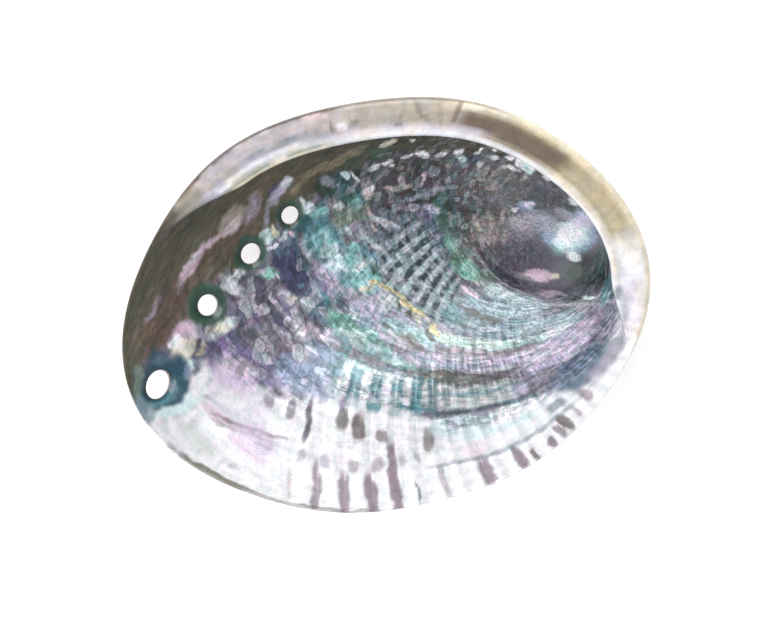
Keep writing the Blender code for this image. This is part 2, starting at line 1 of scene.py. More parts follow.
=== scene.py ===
"""Abalone shell lying on its back: nacre inside, a pale plate along the far side, a weathered back.

The shell is one closed mesh laid out in rings and columns, with its four open holes cut through it.
Lengths are millimetres until the mesh is made, angles are degrees. A place on the shell is given by its
growth, the log of the size that the shell had when its edge lay there, and its travel, the way along
today's edge in millimetres.
"""
import logging
import math
from dataclasses import dataclass, field
from enum import Enum
from typing import Any, Callable

import bpy
import numpy as np
from mathutils import Matrix, Vector, kdtree

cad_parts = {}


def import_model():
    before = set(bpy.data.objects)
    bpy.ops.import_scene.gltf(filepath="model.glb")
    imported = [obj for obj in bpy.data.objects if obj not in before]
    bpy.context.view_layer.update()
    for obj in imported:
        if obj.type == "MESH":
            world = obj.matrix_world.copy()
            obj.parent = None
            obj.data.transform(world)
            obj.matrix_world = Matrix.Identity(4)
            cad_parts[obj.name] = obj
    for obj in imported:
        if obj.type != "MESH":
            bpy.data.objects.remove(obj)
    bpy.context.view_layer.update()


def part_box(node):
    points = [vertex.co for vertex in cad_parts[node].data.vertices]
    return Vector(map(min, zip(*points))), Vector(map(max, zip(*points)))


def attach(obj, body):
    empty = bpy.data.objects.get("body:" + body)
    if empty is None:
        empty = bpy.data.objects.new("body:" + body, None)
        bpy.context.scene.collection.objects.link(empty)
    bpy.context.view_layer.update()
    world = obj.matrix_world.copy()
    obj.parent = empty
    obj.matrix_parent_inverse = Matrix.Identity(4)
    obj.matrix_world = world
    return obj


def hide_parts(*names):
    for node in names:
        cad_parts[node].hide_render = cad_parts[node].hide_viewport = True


LOG = logging.getLogger("abalone")
MM = 0.001
TINY = 0.001
FAR = 99.0
PALE_SUM = 480
Values = np.ndarray
Span = tuple[float, float]
Triple = tuple[float, float, float]
Quad = tuple[float, float, float, float]
Stops = tuple[Span, ...]


def ease(value: Values) -> Values:
    """Smooth step from 0 to 1."""
    value = np.clip(value, 0.0, 1.0)
    return value * value * (3.0 - 2.0 * value)


def ramp(value: Values, ends: Span) -> Values:
    """0 at the first end, easing to 1 at the second."""
    return ease((value - ends[0]) / (ends[1] - ends[0]))


def window(value: Values, ends: Quad) -> Values:
    """1 between the two middle ends, easing to 0 at the outer two."""
    return ramp(value, ends[:2]) * ramp(value, (ends[3], ends[2]))


def bump(distance: Values, half_width: Values | float) -> Values:
    """Rounded bump of height 1."""
    return np.exp(-((distance / half_width) ** 2))


def around(angle: Values, stops: Stops) -> Values:
    """Value at an angle, eased between stops placed round the circle.

    Args:
        angle: Angles in degrees.
        stops: Pairs of angle and value, in rising order.

    Returns:
        One value for each angle.
    """
    angle = np.mod(angle, 360.0)
    places = [stops[-1][0] - 360.0] + [place for place, _ in stops] + [stops[0][0] + 360.0]
    values = [stops[-1][1]] + [value for _, value in stops] + [stops[0][1]]
    result = np.zeros_like(angle)
    for low, high, start, end in zip(places, places[1:], values, values[1:]):
        inside = (angle >= low) & (angle < high)
        result = np.where(inside, start + (end - start) * ease((angle - low) / (high - low)), result)
    return result


class Seed(Enum):
    """Which random pattern."""

    BACK_STREAKS = 3
    CRUST = 5
    BOWL_STREAKS = 7
    STROKE_STREAKS = 11
    STROKE_EDGES = 13
    PLATE_BANDS = 17
    TRAVEL = 19
    GROWTH = 23
    ASIDE = 29
    AHEAD = 31
    RIB_BREAKS = 37
    PLATE_DABS = 41


@dataclass(frozen=True)
class Grain:
    """Smooth random values in space, the same on every run."""

    seed: Seed
    primes: tuple[int, int, int, int] = (73856093, 19349663, 83492791, 2654435761)
    mixer: int = 1274126177
    mask: int = 0xFFFFFFFF
    shift: float = 17.3
    finer: float = 2.1
    weaker: float = 0.5
    level: float = 1.3

    def corner(self, cell: Values) -> Values:
        """Random value from -1 to 1 at whole-number corners.

        Args:
            cell: Whole-number positions, one row each.

        Returns:
            One value for each row.
        """
        key = self.seed.value * self.primes[3]
        for axis in range(3):
            key = key ^ (cell[..., axis] * self.primes[axis])
        key = key & self.mask
        key = ((key ^ (key >> 13)) * self.mixer) & self.mask
        key = key ^ (key >> 16)
        return key / (0.5 * self.mask) - 1.0

    def at(self, points: Values, octaves: int = 3) -> Values:
        """Random value at each point, with finer and weaker layers added.

        Args:
            points: Positions, one row each, in units of the coarsest cells.
            octaves: Number of layers.

        Returns:
            Values of about -1 to 1.
        """
        total = np.zeros(len(points))
        weight = 1.0
        scale = 1.0
        for layer in range(octaves):
            place = points * scale + self.shift * layer
            low = np.floor(place).astype(np.int64)
            part = ease(place - low)
            value = np.zeros(len(points))
            for index in range(8):
                offset = np.array([index & 1, (index >> 1) & 1, (index >> 2) & 1])
                share = np.prod(np.where(offset == 1, part, 1.0 - part), axis=1)
                value = value + share * self.corner(low + offset)
            total = total + weight * value
            weight *= self.weaker
            scale *= self.finer
        return total / self.level

    def over(self, x: Values, y: Values, cell: float, octaves: int = 3) -> Values:
        """Random value at plan positions, in cells of a given size."""
        return self.at(np.stack([x, y, np.zeros_like(x)], axis=1) / cell, octaves)


@dataclass(frozen=True)
class Margin:
    """Shell's edge in plan: its distance from the bowl's middle is a series of cosines and sines."""

    middle: Span = (0.0, 5.0)
    cosines: tuple[float, ...] = (61.2, -0.1, 7.0, 0.7, 0.2, 0.6, 0.0, 0.3)
    sines: tuple[float, ...] = (0.0, -5.7, 3.4, -1.0, 0.8, -0.3, 0.4, 0.0)
    heights: Stops = ((0, 0.6), (60, 2.0), (110, 2.2), (155, 0.8), (203, -2.4), (238, -0.8), (275, 0.4),
                      (325, 0.6))

    def radius(self, angle: Values) -> Values:
        """Distance from the middle of the bowl to the edge.

        Args:
            angle: Angles round the middle of the bowl.

        Returns:
            One distance for each angle.
        """
        turn = np.radians(angle)
        radius = np.zeros_like(turn)
        for order, (cosine, sine) in enumerate(zip(self.cosines, self.sines)):
            radius = radius + cosine * np.cos(order * turn) + sine * np.sin(order * turn)
        return radius

    def polar(self, x: Values, y: Values) -> tuple[Values, Values]:
        """Share of the way from the middle of the bowl to the edge, and the angle.

        Args:
            x: Plan positions.
            y: Plan positions.

        Returns:
            Shares and angles in degrees.
        """
        dx = x - self.middle[0]
        dy = y - self.middle[1]
        angle = np.mod(np.degrees(np.arctan2(dy, dx)), 360.0)
        return np.hypot(dx, dy) / self.radius(angle), angle

    def place(self, share: Values, angle: Values) -> tuple[Values, Values]:
        """Plan position of a share of the way to the edge at an angle.

        Args:
            share: Shares of the way from the middle to the edge.
            angle: Angles round the middle of the bowl.

        Returns:
            Positions across and up.
        """
        radius = share * self.radius(angle)
        x = self.middle[0] + radius * np.cos(np.radians(angle))
        y = self.middle[1] + radius * np.sin(np.radians(angle))
        return x, y

    def inset_share(self, inset: Values | float, angle: Values) -> Values:
        """Share of the way to the edge of a point that lies a given distance inside the edge.

        Args:
            inset: Distances inside the edge.
            angle: Angles round the middle of the bowl.

        Returns:
            One share for each angle.
        """
        radius = self.radius(angle)
        step = 0.5
        change = self.radius(angle + step) - self.radius(angle - step)
        slope = change / (2 * math.radians(step)) / radius
        return 1.0 - inset * np.sqrt(1.0 + slope ** 2) / radius


@dataclass
class Growth:
    """How the shell grew: its outline shrinks and turns about the apex along an equiangular spiral."""

    margin: Margin
    apex: Span = (46.6, 10.7)
    rate: float = 0.955
    spire_rate: float = 0.34
    spire_starts: float = -1.55
    spire_roundness: float = 0.30
    spire_rounding: Span = (-1.05, -1.85)
    steps: int = 720
    rounds: int = 34
    oldest: float = -6.0
    newest: float = 0.3
    grid: Values = field(init=False)
    reach: Values = field(init=False)
    travel: Values = field(init=False)
    mean_log: float = field(init=False)

    def __post_init__(self) -> None:
        """Measures today's edge from the apex."""
        angle = np.linspace(0.0, 360.0, 4 * self.steps, endpoint=False)
        x, y = self.margin.place(np.ones_like(angle), angle)
        seen = np.mod(np.degrees(np.arctan2(y - self.apex[1], x - self.apex[0])), 360.0)
        order = np.argsort(seen)
        self.grid = np.linspace(0.0, 360.0, self.steps + 1)
        distance = np.hypot(x - self.apex[0], y - self.apex[1])
        self.reach = np.interp(self.grid, seen[order], distance[order], period=360.0)
        self.mean_log = float(np.mean(np.log(self.reach)))
        turn = np.radians(self.grid)
        lengths = np.hypot(np.diff(self.reach * np.cos(turn)), np.diff(self.reach * np.sin(turn)))
        self.travel = np.r_[0.0, np.cumsum(lengths)]

    def turned_back(self, growth: Values) -> Values:
        """Degrees that the outline at a growth stage is turned back from today's.

        Args:
            growth: Growth stages.

        Returns:
            One turn for each stage.
        """
        young = np.minimum(growth - self.spire_starts, 0.0)
        grown = np.maximum(growth, self.spire_starts)
        return np.degrees(-grown / self.rate - young / self.spire_rate)

    def log_outline(self, angle: Values, growth: Values) -> Values:
        """Log of the outline's distance from the apex; young outlines are rounder.

        Args:
            angle: Angles round the apex.
            growth: Growth stages.

        Returns:
            One log for each angle.
        """
        full = np.log(np.interp(np.mod(angle, 360.0), self.grid, self.reach))
        keep = 1.0 - (1.0 - self.spire_roundness) * ramp(growth, self.spire_rounding)
        return self.mean_log + keep * (full - self.mean_log)

    def place(self, x: Values, y: Values) -> tuple[Values, Values]:
        """Growth stage of each point, and its travel along the edge.

        Args:
            x: Plan positions, towards the spire.
            y: Plan positions, towards the plate.

        Returns:
            Growth, 0 at today's edge and below 0 inside it, and travel in millimetres of today's edge.
        """
        dx = x - self.apex[0]
        dy = y - self.apex[1]
        log_radius = np.log(np.maximum(np.hypot(dx, dy), TINY))
        seen = np.degrees(np.arctan2(dy, dx))
        low = np.full_like(log_radius, self.oldest)
        high = np.full_like(log_radius, self.newest)
        for _ in range(self.rounds):
            middle = 0.5 * (low + high)
            short = middle + self.log_outline(seen + self.turned_back(middle), middle) < log_radius
            low = np.where(short, middle, low)
            high = np.where(short, high, middle)
        growth = 0.5 * (low + high)
        angle = np.mod(seen + self.turned_back(growth), 360.0)
        return growth, np.interp(angle, self.grid, self.travel)


@dataclass(frozen=True)
class Bowl:
    """Bowl without relief: its depth falls as a round part and a steep part of the distance to the edge."""

    margin: Margin
    depth: float = 29.0
    round_share: Stops = ((0, 0.40), (60, 0.34), (115, 0.34), (165, 0.42), (203, 0.54), (240, 0.70),
                          (285, 0.78), (330, 0.56))
    steepness: Stops = ((0, 5.4), (60, 6.4), (115, 6.4), (165, 5.4), (203, 3.8), (240, 3.2), (285, 3.0),
                        (330, 3.8))
    lip_flare: Stops = ((0, 0.0), (180, 0.0), (215, 0.16), (250, 0.30), (300, 0.30), (340, 0.10))
    flare_power: float = 1.35
    steepest: float = 2.3
    slope_step: float = 0.05

    def height(self, x: Values, y: Values) -> Values:
        """Height over the edge's mean height.

        Args:
            x: Plan positions.
            y: Plan positions.

        Returns:
            One height for each point.
        """
        share, angle = self.margin.polar(x, y)
        rounded = around(angle, self.round_share)
        flare = around(angle, self.lip_flare)
        steep = np.power(share, around(angle, self.steepness))
        drop = 1.0 - rounded * share ** 2 - (1.0 - rounded) * steep
        flared = 0.5 + 0.5 * np.cos(math.pi * np.minimum(share, 1.0) ** self.flare_power)
        rim = around(angle, self.margin.heights) * share ** 3
        return rim - self.depth * ((1.0 - flare) * drop + flare * flared)

    def stretch(self, x: Values, y: Values) -> Values:
        """Vertical length of one unit of wall thickness.

        Args:
            x: Plan positions.
            y: Plan positions.

        Returns:
            One length for each point.
        """
        step = self.slope_step
        slope_x = (self.height(x + step, y) - self.height(x - step, y)) / (2 * step)
        slope_y = (self.height(x, y + step) - self.height(x, y - step)) / (2 * step)
        return np.minimum(np.sqrt(1.0 + slope_x ** 2 + slope_y ** 2), self.steepest)


@dataclass
class Cords:
    """Ribs that run with the growth of the shell, ever wider towards the lip."""

    crests: tuple[float, ...] = (218, 226, 234, 242, 249.5, 257, 265.3, 273, 281, 289, 296.5,
                                 303.5, 309, 314, 319.5, 325, 330, 335, 340, 345, 350, 355,
                                 360.0, 365.0, 370.0, 375.0, 380.0, 385.0, 390.0)
    ends: Quad = (0.5, 4.0, 24.0, 27.5)
    ages: Span = (-1.0, -0.35)
    reach: Span = (0.30, 0.62)
    height: float = 0.55
    fold: float = 0.42
    fold_starts: Span = (4.0, 9.5)
    groove_depth: float = 0.45
    groove_width: float = 0.12

    def number(self, travel: Values) -> Values:
        """Number of cords, whole or not, up to a travel."""
        return np.interp(travel, self.crests, np.arange(len(self.crests), dtype=float))

    def wave(self, share: Values, growth: Values, travel: Values) -> Values:
        """Crests of 1 and troughs of -1, fading on the older part of the shell.

        Args:
            share: Shares of the way from the middle to the edge.
            growth: Growth at each point.
            travel: Travel at each point.

        Returns:
            One value for each point.
        """
        number = self.number(travel)
        crest = np.cos(2 * math.pi * number)
        groove = crest - self.groove_depth * bump(np.mod(number, 1.0) - 0.5, self.groove_width)
        fade = window(number, self.ends) * ramp(growth, self.ages) * ramp(share, self.reach)
        return groove * fade


@dataclass(frozen=True)
class Spire:
    """Low spire on the back, with the seam between its whorls."""

    apex: Span
    middle: Span = (45.4, 13.0)
    radius: float = 13.5
    rise: float = 4.2
    seam_start: float = 342.0
    spiral: Span = (12.5, 0.19)
    opening: Span = (9.1, 1.8)
    turns: int = 3
    seam_depth: float = 1.3
    seam_reach: float = 30.0
    tip_fade: Span = (1.0, 6.0)
    seam_widths: Span = (0.7, 0.1)
    margin_fade: Span = (1.0, 0.72)
    clearing: Span = (10.0, 40.0)
    bulge: float = 0.17
    widest: float = 6.0
    start: Span = (0.0, 1.6)

    def clear(self, x: Values, y: Values) -> Values:
        """Share of other relief that is left near the apex."""
        return ramp(np.hypot(x - self.apex[0], y - self.apex[1]), self.clearing)

    def dome(self, x: Values, y: Values) -> Values:
        """Height of the low dome that the spire and its chamber share."""
        return self.rise * bump(np.hypot(x - self.middle[0], y - self.middle[1]), self.radius)

    def seam_radius(self, turned: Values) -> Values:
        """Distance of the seam from the apex, by the turn back from the edge in radians."""
        return self.spiral[0] * np.exp(-self.spiral[1] * turned) + self.opening[0] * np.exp(
            -self.opening[1] * turned)

    def relief(self, x: Values, y: Values, share: Values) -> Values:
        """Whorls standing out between the turns of the sunken seam.

        Args:
            x: Plan positions.
            y: Plan positions.
            share: Shares of the way from the middle to the edge.

        Returns:
            One height for each point.
        """
        from_apex = np.hypot(x - self.apex[0], y - self.apex[1])
        seen = np.degrees(np.arctan2(y - self.apex[1], x - self.apex[0]))
        turned = np.radians(np.mod(self.seam_start - seen, 360.0))
        away = np.full_like(from_apex, self.seam_reach)
        swell = np.zeros_like(from_apex)
        for turn in range(self.turns):
            outer = self.seam_radius(turned + 2 * math.pi * turn)
            inner = self.seam_radius(turned + 2 * math.pi * (turn + 1))
            away = np.minimum(away, np.abs(from_apex - outer))
            across = np.clip((from_apex - inner) / (outer - inner), 0.0, 1.0)
            begun = ramp(turned, self.start) if turn == 0 else 1.0
            swell = swell + 4.0 * across * (1.0 - across) * self.bulge * begun * np.minimum(
                outer - inner, self.widest)
        half_width = self.seam_widths[0] + self.seam_widths[1] * from_apex
        seam = self.seam_depth * ramp(from_apex, self.tip_fade) * bump(away, half_width)
        return (swell - seam) * ramp(share, self.margin_fade)


@dataclass(frozen=True)
class Chamber:
    """Raised edge of the chamber under the spire, with the thick apron in front of it."""

    low: Span = (47.0, 1.9)
    curve: Span = (0.012, 0.000016)
    start: Span = (20.0, 33.0)
    end: Span = (0.93, 0.84)
    height: float = 1.5
    half_width: float = 2.3
    apron: float = 2.0
    apron_reach: Quad = (-9.0, 0.0, 0.0, 3.0)
    drop: float = 0.3
    reach: Quad = (0.0, 6.0, 12.0, 22.0)

    def behind(self, x: Values, y: Values) -> Values:
        """Distance of a point behind the edge's crest.

        Args:
            x: Plan positions.
            y: Plan positions.

        Returns:
            One distance for each point.
        """
        along = x - self.low[0]
        square, fourth = self.curve
        edge = self.low[1] + square * along ** 2 + fourth * along ** 4
        slope = 2.0 * square * along + 4.0 * fourth * along ** 3
        return (y - edge) / np.sqrt(1.0 + slope ** 2)

    def strength(self, x: Values, share: Values) -> Values:
        """How strong the edge is along its way."""
        return ramp(x, self.start) * ramp(share, self.end)

    def relief(self, x: Values, y: Values, share: Values) -> Values:
        """Height of the edge and its apron, and the drop behind them.

        Args:
            x: Plan positions.
            y: Plan positions.
            share: Shares of the way from the middle to the edge.

        Returns:
            One height for each point.
        """
        behind = self.behind(x, y)
        crest = self.height * bump(behind, self.half_width)
        apron = self.apron * window(behind, self.apron_reach)
        drop = self.drop * window(behind, self.reach)
        return self.strength(x, share) * (crest + apron - drop)


@dataclass(frozen=True)
class Hole:
    """One hole of the row, open or closed."""

    x: float
    y: float
    hollow: float
    width: float = 0.0
    length: float = 0.0


@dataclass(frozen=True)
class HoleRow:
    """Row of holes along the left side, oldest last."""

    opened: tuple[Hole, ...] = (Hole(-60.6, -21.1, 12.5, 5.9, 8.2), Hole(-47.6, 0.0, 12.0, 5.3, 5.8),
                                Hole(-36.2, 13.8, 11.5, 5.0, 5.7), Hole(-25.7, 24.1, 11.0, 4.4, 4.9))
    closed: tuple[Hole, ...] = (Hole(-15.3, 32.2, 8.5), Hole(-5.2, 34.7, 7.5), Hole(4.6, 36.6, 6.8),
                                Hole(15.0, 38.2, 6.0), Hole(23.8, 38.9, 5.2), Hole(31.2, 38.2, 4.6),
                                Hole(37.2, 35.6, 4.0))
    turn: float = 62.0
    lean: float = 0.2
    taper: float = 0.94
    sides: int = 56
    knob: Span = (0.17, 0.46)
    hollow: Span = (0.10, 0.34)
    crater: Span = (0.07, 0.20)
    worn: Span = (5.3, 7.5)
    nub: Span = (0.05, 0.13)
    rim: Span = (0.35, 0.8)

    def away(self, hole: Hole, x: Values, y: Values) -> Values:
        """Distance of points from a hole's middle."""
        return np.hypot(x - hole.x, y - hole.y)

    def rim_gap(self, x: Values, y: Values) -> Values:
        """Distance of points from the nearest open hole's rim, below 0 inside it.

        Args:
            x: Plan positions.
            y: Plan positions.

        Returns:
            One distance for each point.
        """
        turn = math.radians(self.turn)
        gap = np.full_like(x, FAR)
        for hole in self.opened:
            along = (x - hole.x) * math.cos(turn) + (y - hole.y) * math.sin(turn)
            across = (y - hole.y) * math.cos(turn) - (x - hole.x) * math.sin(turn)
            size = np.hypot(along / hole.length, across / hole.width) * 2.0
            gap = np.minimum(gap, (size - 1.0) * 0.25 * (hole.length + hole.width))
        return gap

    def back_relief(self, x: Values, y: Values) -> Values:
        """Knobs round the holes on the back, with a crater in each closed one.

        Args:
            x: Plan positions.
            y: Plan positions.

        Returns:
            One height for each point.
        """
        relief = np.zeros_like(x)
        for hole in self.opened + self.closed:
            height = self.knob[0] * hole.hollow * ramp(np.float64(hole.hollow), self.worn)
            relief = relief + height * bump(self.away(hole, x, y), self.knob[1] * hole.hollow)
        for hole in self.closed:
            depth = self.crater[0] * hole.hollow * ramp(np.float64(hole.hollow), self.worn)
            relief = relief - depth * bump(self.away(hole, x, y), self.crater[1] * hole.hollow)
        return relief

    def bowl_relief(self, x: Values, y: Values) -> Values:
        """Hollows round the holes inside.

        Args:
            x: Plan positions.
            y: Plan positions.

        Returns:
            One height for each point.
        """
        relief = np.zeros_like(x)
        for hole in self.opened + self.closed:
            depth = self.hollow[0] * hole.hollow
            relief = relief - depth * bump(self.away(hole, x, y), self.hollow[1] * hole.hollow)
        for hole in self.closed:
            height = self.nub[0] * hole.hollow
            relief = relief + height * bump(self.away(hole, x, y), self.nub[1] * hole.hollow)
        return relief - self.rim[0] * bump(self.rim_gap(x, y), self.rim[1])


@dataclass(frozen=True)
class Edge:
    """Section of the edge: the broad inner plate along the far side, the thin lip elsewhere."""

    margin: Margin
    width: float = 10.3
    left_end: Span = (170.0, 143.0)
    right_end: Span = (-18.0, 2.0)
    plate: Stops = ((0.02, 0.8), (0.09, 1.6), (0.3, 1.6), (0.5, 1.1), (0.7, 0.3), (0.91, 1.1), (1.0, 0.2),
                    (0.93, -1.3), (0.74, -3.8))
    plate_root: float = 0.50
    lip: Stops = ((0.05, 0.35), (0.2, 0.7), (0.45, 0.93), (0.75, 1.0), (1.15, 1.0), (1.6, 1.0), (2.05, 1.0),
                  (2.5, 1.0), (2.95, 1.0))
    lip_root: float = 3.4
    stations: int = 20

    def weight(self, angle: Values) -> Values:
        """How much of the plate there is at an angle.

        Args:
            angle: Angles round the middle of the bowl.

        Returns:
            Values from 0 to 1.
        """
        angle = np.mod(angle + 90.0, 360.0) - 90.0
        left = ease((self.left_end[0] - angle) / (self.left_end[0] - self.left_end[1]))
        right = ease((angle - self.right_end[0]) / (self.right_end[1] - self.right_end[0]))
        return left * right

    def knots(self, angle: Values, inside: Callable[[Values, Values], Values]) -> tuple[Values, Values]:
        """Shares and heights of the section's named points.

        Args:
            angle: Angles of the columns.
            inside: Height of the bowl's inside at a plan position.

        Returns:
            Two arrays, one row for each point of the section.
        """
        weight = self.weight(angle)
        rim = around(angle, self.margin.heights)
        shares = [np.ones_like(angle)]
        heights = [rim]
        for (plate_share, plate_up), (lip_inset, lip_up) in zip(self.plate, self.lip):
            inset = weight * plate_share * self.width + (1.0 - weight) * lip_inset
            lip_share = self.margin.inset_share(lip_inset, angle)
            lip_height = rim + lip_up * (inside(*self.margin.place(lip_share, angle)) - rim)
            shares.append(self.margin.inset_share(inset, angle))
            heights.append(weight * (rim + plate_up) + (1.0 - weight) * lip_height)
        root_inset = weight * self.plate_root * self.width + (1.0 - weight) * self.lip_root
        root = self.margin.inset_share(root_inset, angle)
        shares.append(root)
        heights.append(inside(*self.margin.place(root, angle)))
        return np.array(shares), np.array(heights)

    def section(self, angle: Values, inside: Callable[[Values, Values], Values]) -> tuple[Values, Values]:
        """Shares and heights along a smooth line through the section's points, ends included.

        Args:
            angle: Angles round the middle of the bowl.
            inside: Height of the bowl at plan positions.

        Returns:
            Shares and heights, one row for each station.
        """
        shares, heights = self.knots(angle, inside)
        count = len(shares)
        step = np.linspace(0.0, count - 1.0, self.stations + 1)
        low = np.minimum(step.astype(int), count - 2)
        part = (step - low)[:, None]
        result = []
        for knots in (shares, heights):
            slope = np.gradient(knots, axis=0)
            start, end = knots[low], knots[low + 1]
            first, last = slope[low], slope[low + 1]
            line = start + part * (end - start)
            rise = end - start
            bend = part * (1.0 - part) * ((1.0 - part) * (first - rise) - part * (last - rise))
            result.append(line + bend)
        return result[0], result[1]


@dataclass
class ShellShape:
    """Heights of the shell's two sides."""

    margin: Margin = field(default_factory=Margin)
    wall_lip: float = 1.0
    wall_bowl: float = 2.5
    wall_ramp: Span = (1.0, 0.64)
    settle: Span = (1.01, 0.97)
    folds: tuple[Triple, ...] = (
        (-0.07, 0.025, 0.45), (-0.17, 0.030, 0.60), (-0.29, 0.035, 0.50), (-0.42, 0.040, 0.70),
        (-0.58, 0.045, 0.55), (-0.78, 0.060, 0.70), (-1.02, 0.080, 0.50), (-1.30, 0.090, 0.60))
    ledges: tuple[Triple, ...] = (
        (-0.093, 0.020, 0.25), (-0.251, 0.025, 0.30), (-0.386, 0.025, 0.35), (-0.489, 0.025, 0.35))
    resting: Triple = (1.5, 6.0, 17.0)
    resting_cut: float = 0.45
    back_streaks: Triple = (0.14, 45.0, 26.0)
    crust: Span = (0.16, 5.0)
    bowl_streaks: Triple = (0.07, 70.0, 22.0)
    streaks_start: Span = (0.15, 0.4)
    growth: Growth = field(init=False)
    bowl: Bowl = field(init=False)
    cords: Cords = field(default_factory=Cords)
    spire: Spire = field(init=False)
    chamber: Chamber = field(default_factory=Chamber)
    holes: HoleRow = field(default_factory=HoleRow)
    edge: Edge = field(init=False)

    def __post_init__(self) -> None:
        """Builds the parts of the shape on the one edge."""
        self.growth = Growth(self.margin)
        self.bowl = Bowl(self.margin)
        self.spire = Spire(self.growth.apex)
        self.edge = Edge(self.margin)

    def streaks(self, seed: Seed, growth: Values, travel: Values, across: float, along: float) -> Values:
        """Random streaks along old edges.

        Args:
            seed: Which streaks.
            growth: Growth stages.
            travel: Travels along the edge.
            across: Streaks in one unit of growth.
            along: Length of a streak in millimetres of today's edge.

        Returns:
            Values of about -1 to 1.
        """
        total = self.growth.travel[-1]
        turn = 2 * math.pi * travel / total
        radius = total / (2 * math.pi) / along
        points = np.stack([radius * np.cos(turn), radius * np.sin(turn), growth * across], axis=1)
        return Grain(seed).at(points, 2)

    def back(self, x: Values, y: Values) -> Values:
        """Height of the back.

        Args:
            x: Plan positions.
            y: Plan positions.

        Returns:
            One height for each point.
        """
        growth, travel = self.growth.place(x, y)
        share, _ = self.margin.polar(x, y)
        relief = -self.cords.height * self.cords.wave(share, growth, travel)
        for stage, half_width, height in self.folds:
            relief = relief + height * bump(growth - stage, half_width)
        height, across, along = self.back_streaks
        relief = relief + height * self.streaks(Seed.BACK_STREAKS, growth, travel, across, along)
        relief = relief + self.crust[0] * Grain(Seed.CRUST).over(x, y, self.crust[1])
        relief = relief * self.spire.clear(x, y) + self.spire.dome(x, y)
        relief = relief + self.spire.relief(x, y, share) + self.holes.back_relief(x, y)
        flat = bump(np.hypot(x - self.resting[0], y - self.resting[1]), self.resting[2])
        lift = relief * (1.0 - flat) * self.bowl.stretch(x, y) * ramp(share, self.settle)
        return np.maximum(self.bowl.height(x, y) - lift, -self.bowl.depth + self.resting_cut)

    def inside(self, x: Values, y: Values) -> Values:
        """Height of the bowl's inside.

        Args:
            x: Plan positions.
            y: Plan positions.

        Returns:
            One height for each point.
        """
        growth, travel = self.growth.place(x, y)
        share, _ = self.margin.polar(x, y)
        folded = self.cords.fold * ramp(self.cords.number(travel), self.cords.fold_starts)
        relief = folded * self.cords.wave(share, growth, travel)
        for stage, half_width, height in self.ledges:
            relief = relief + height * bump(growth - stage, half_width)
        height, across, along = self.bowl_streaks
        streaks = self.streaks(Seed.BOWL_STREAKS, growth, travel, across, along)
        relief = relief + height * streaks * ramp(share, self.streaks_start)
        relief = relief * self.spire.clear(x, y)
        relief = relief + self.chamber.relief(x, y, share) - self.spire.dome(x, y)
        relief = relief + self.holes.bowl_relief(x, y)
        wall = self.wall_lip + (self.wall_bowl - self.wall_lip) * ramp(share, self.wall_ramp)
        return self.bowl.height(x, y) + (wall + relief) * self.bowl.stretch(x, y)


class Side(Enum):
    """Which side of the shell a point belongs to."""

    BACK = 0
    EDGE = 1
    BOWL = 2


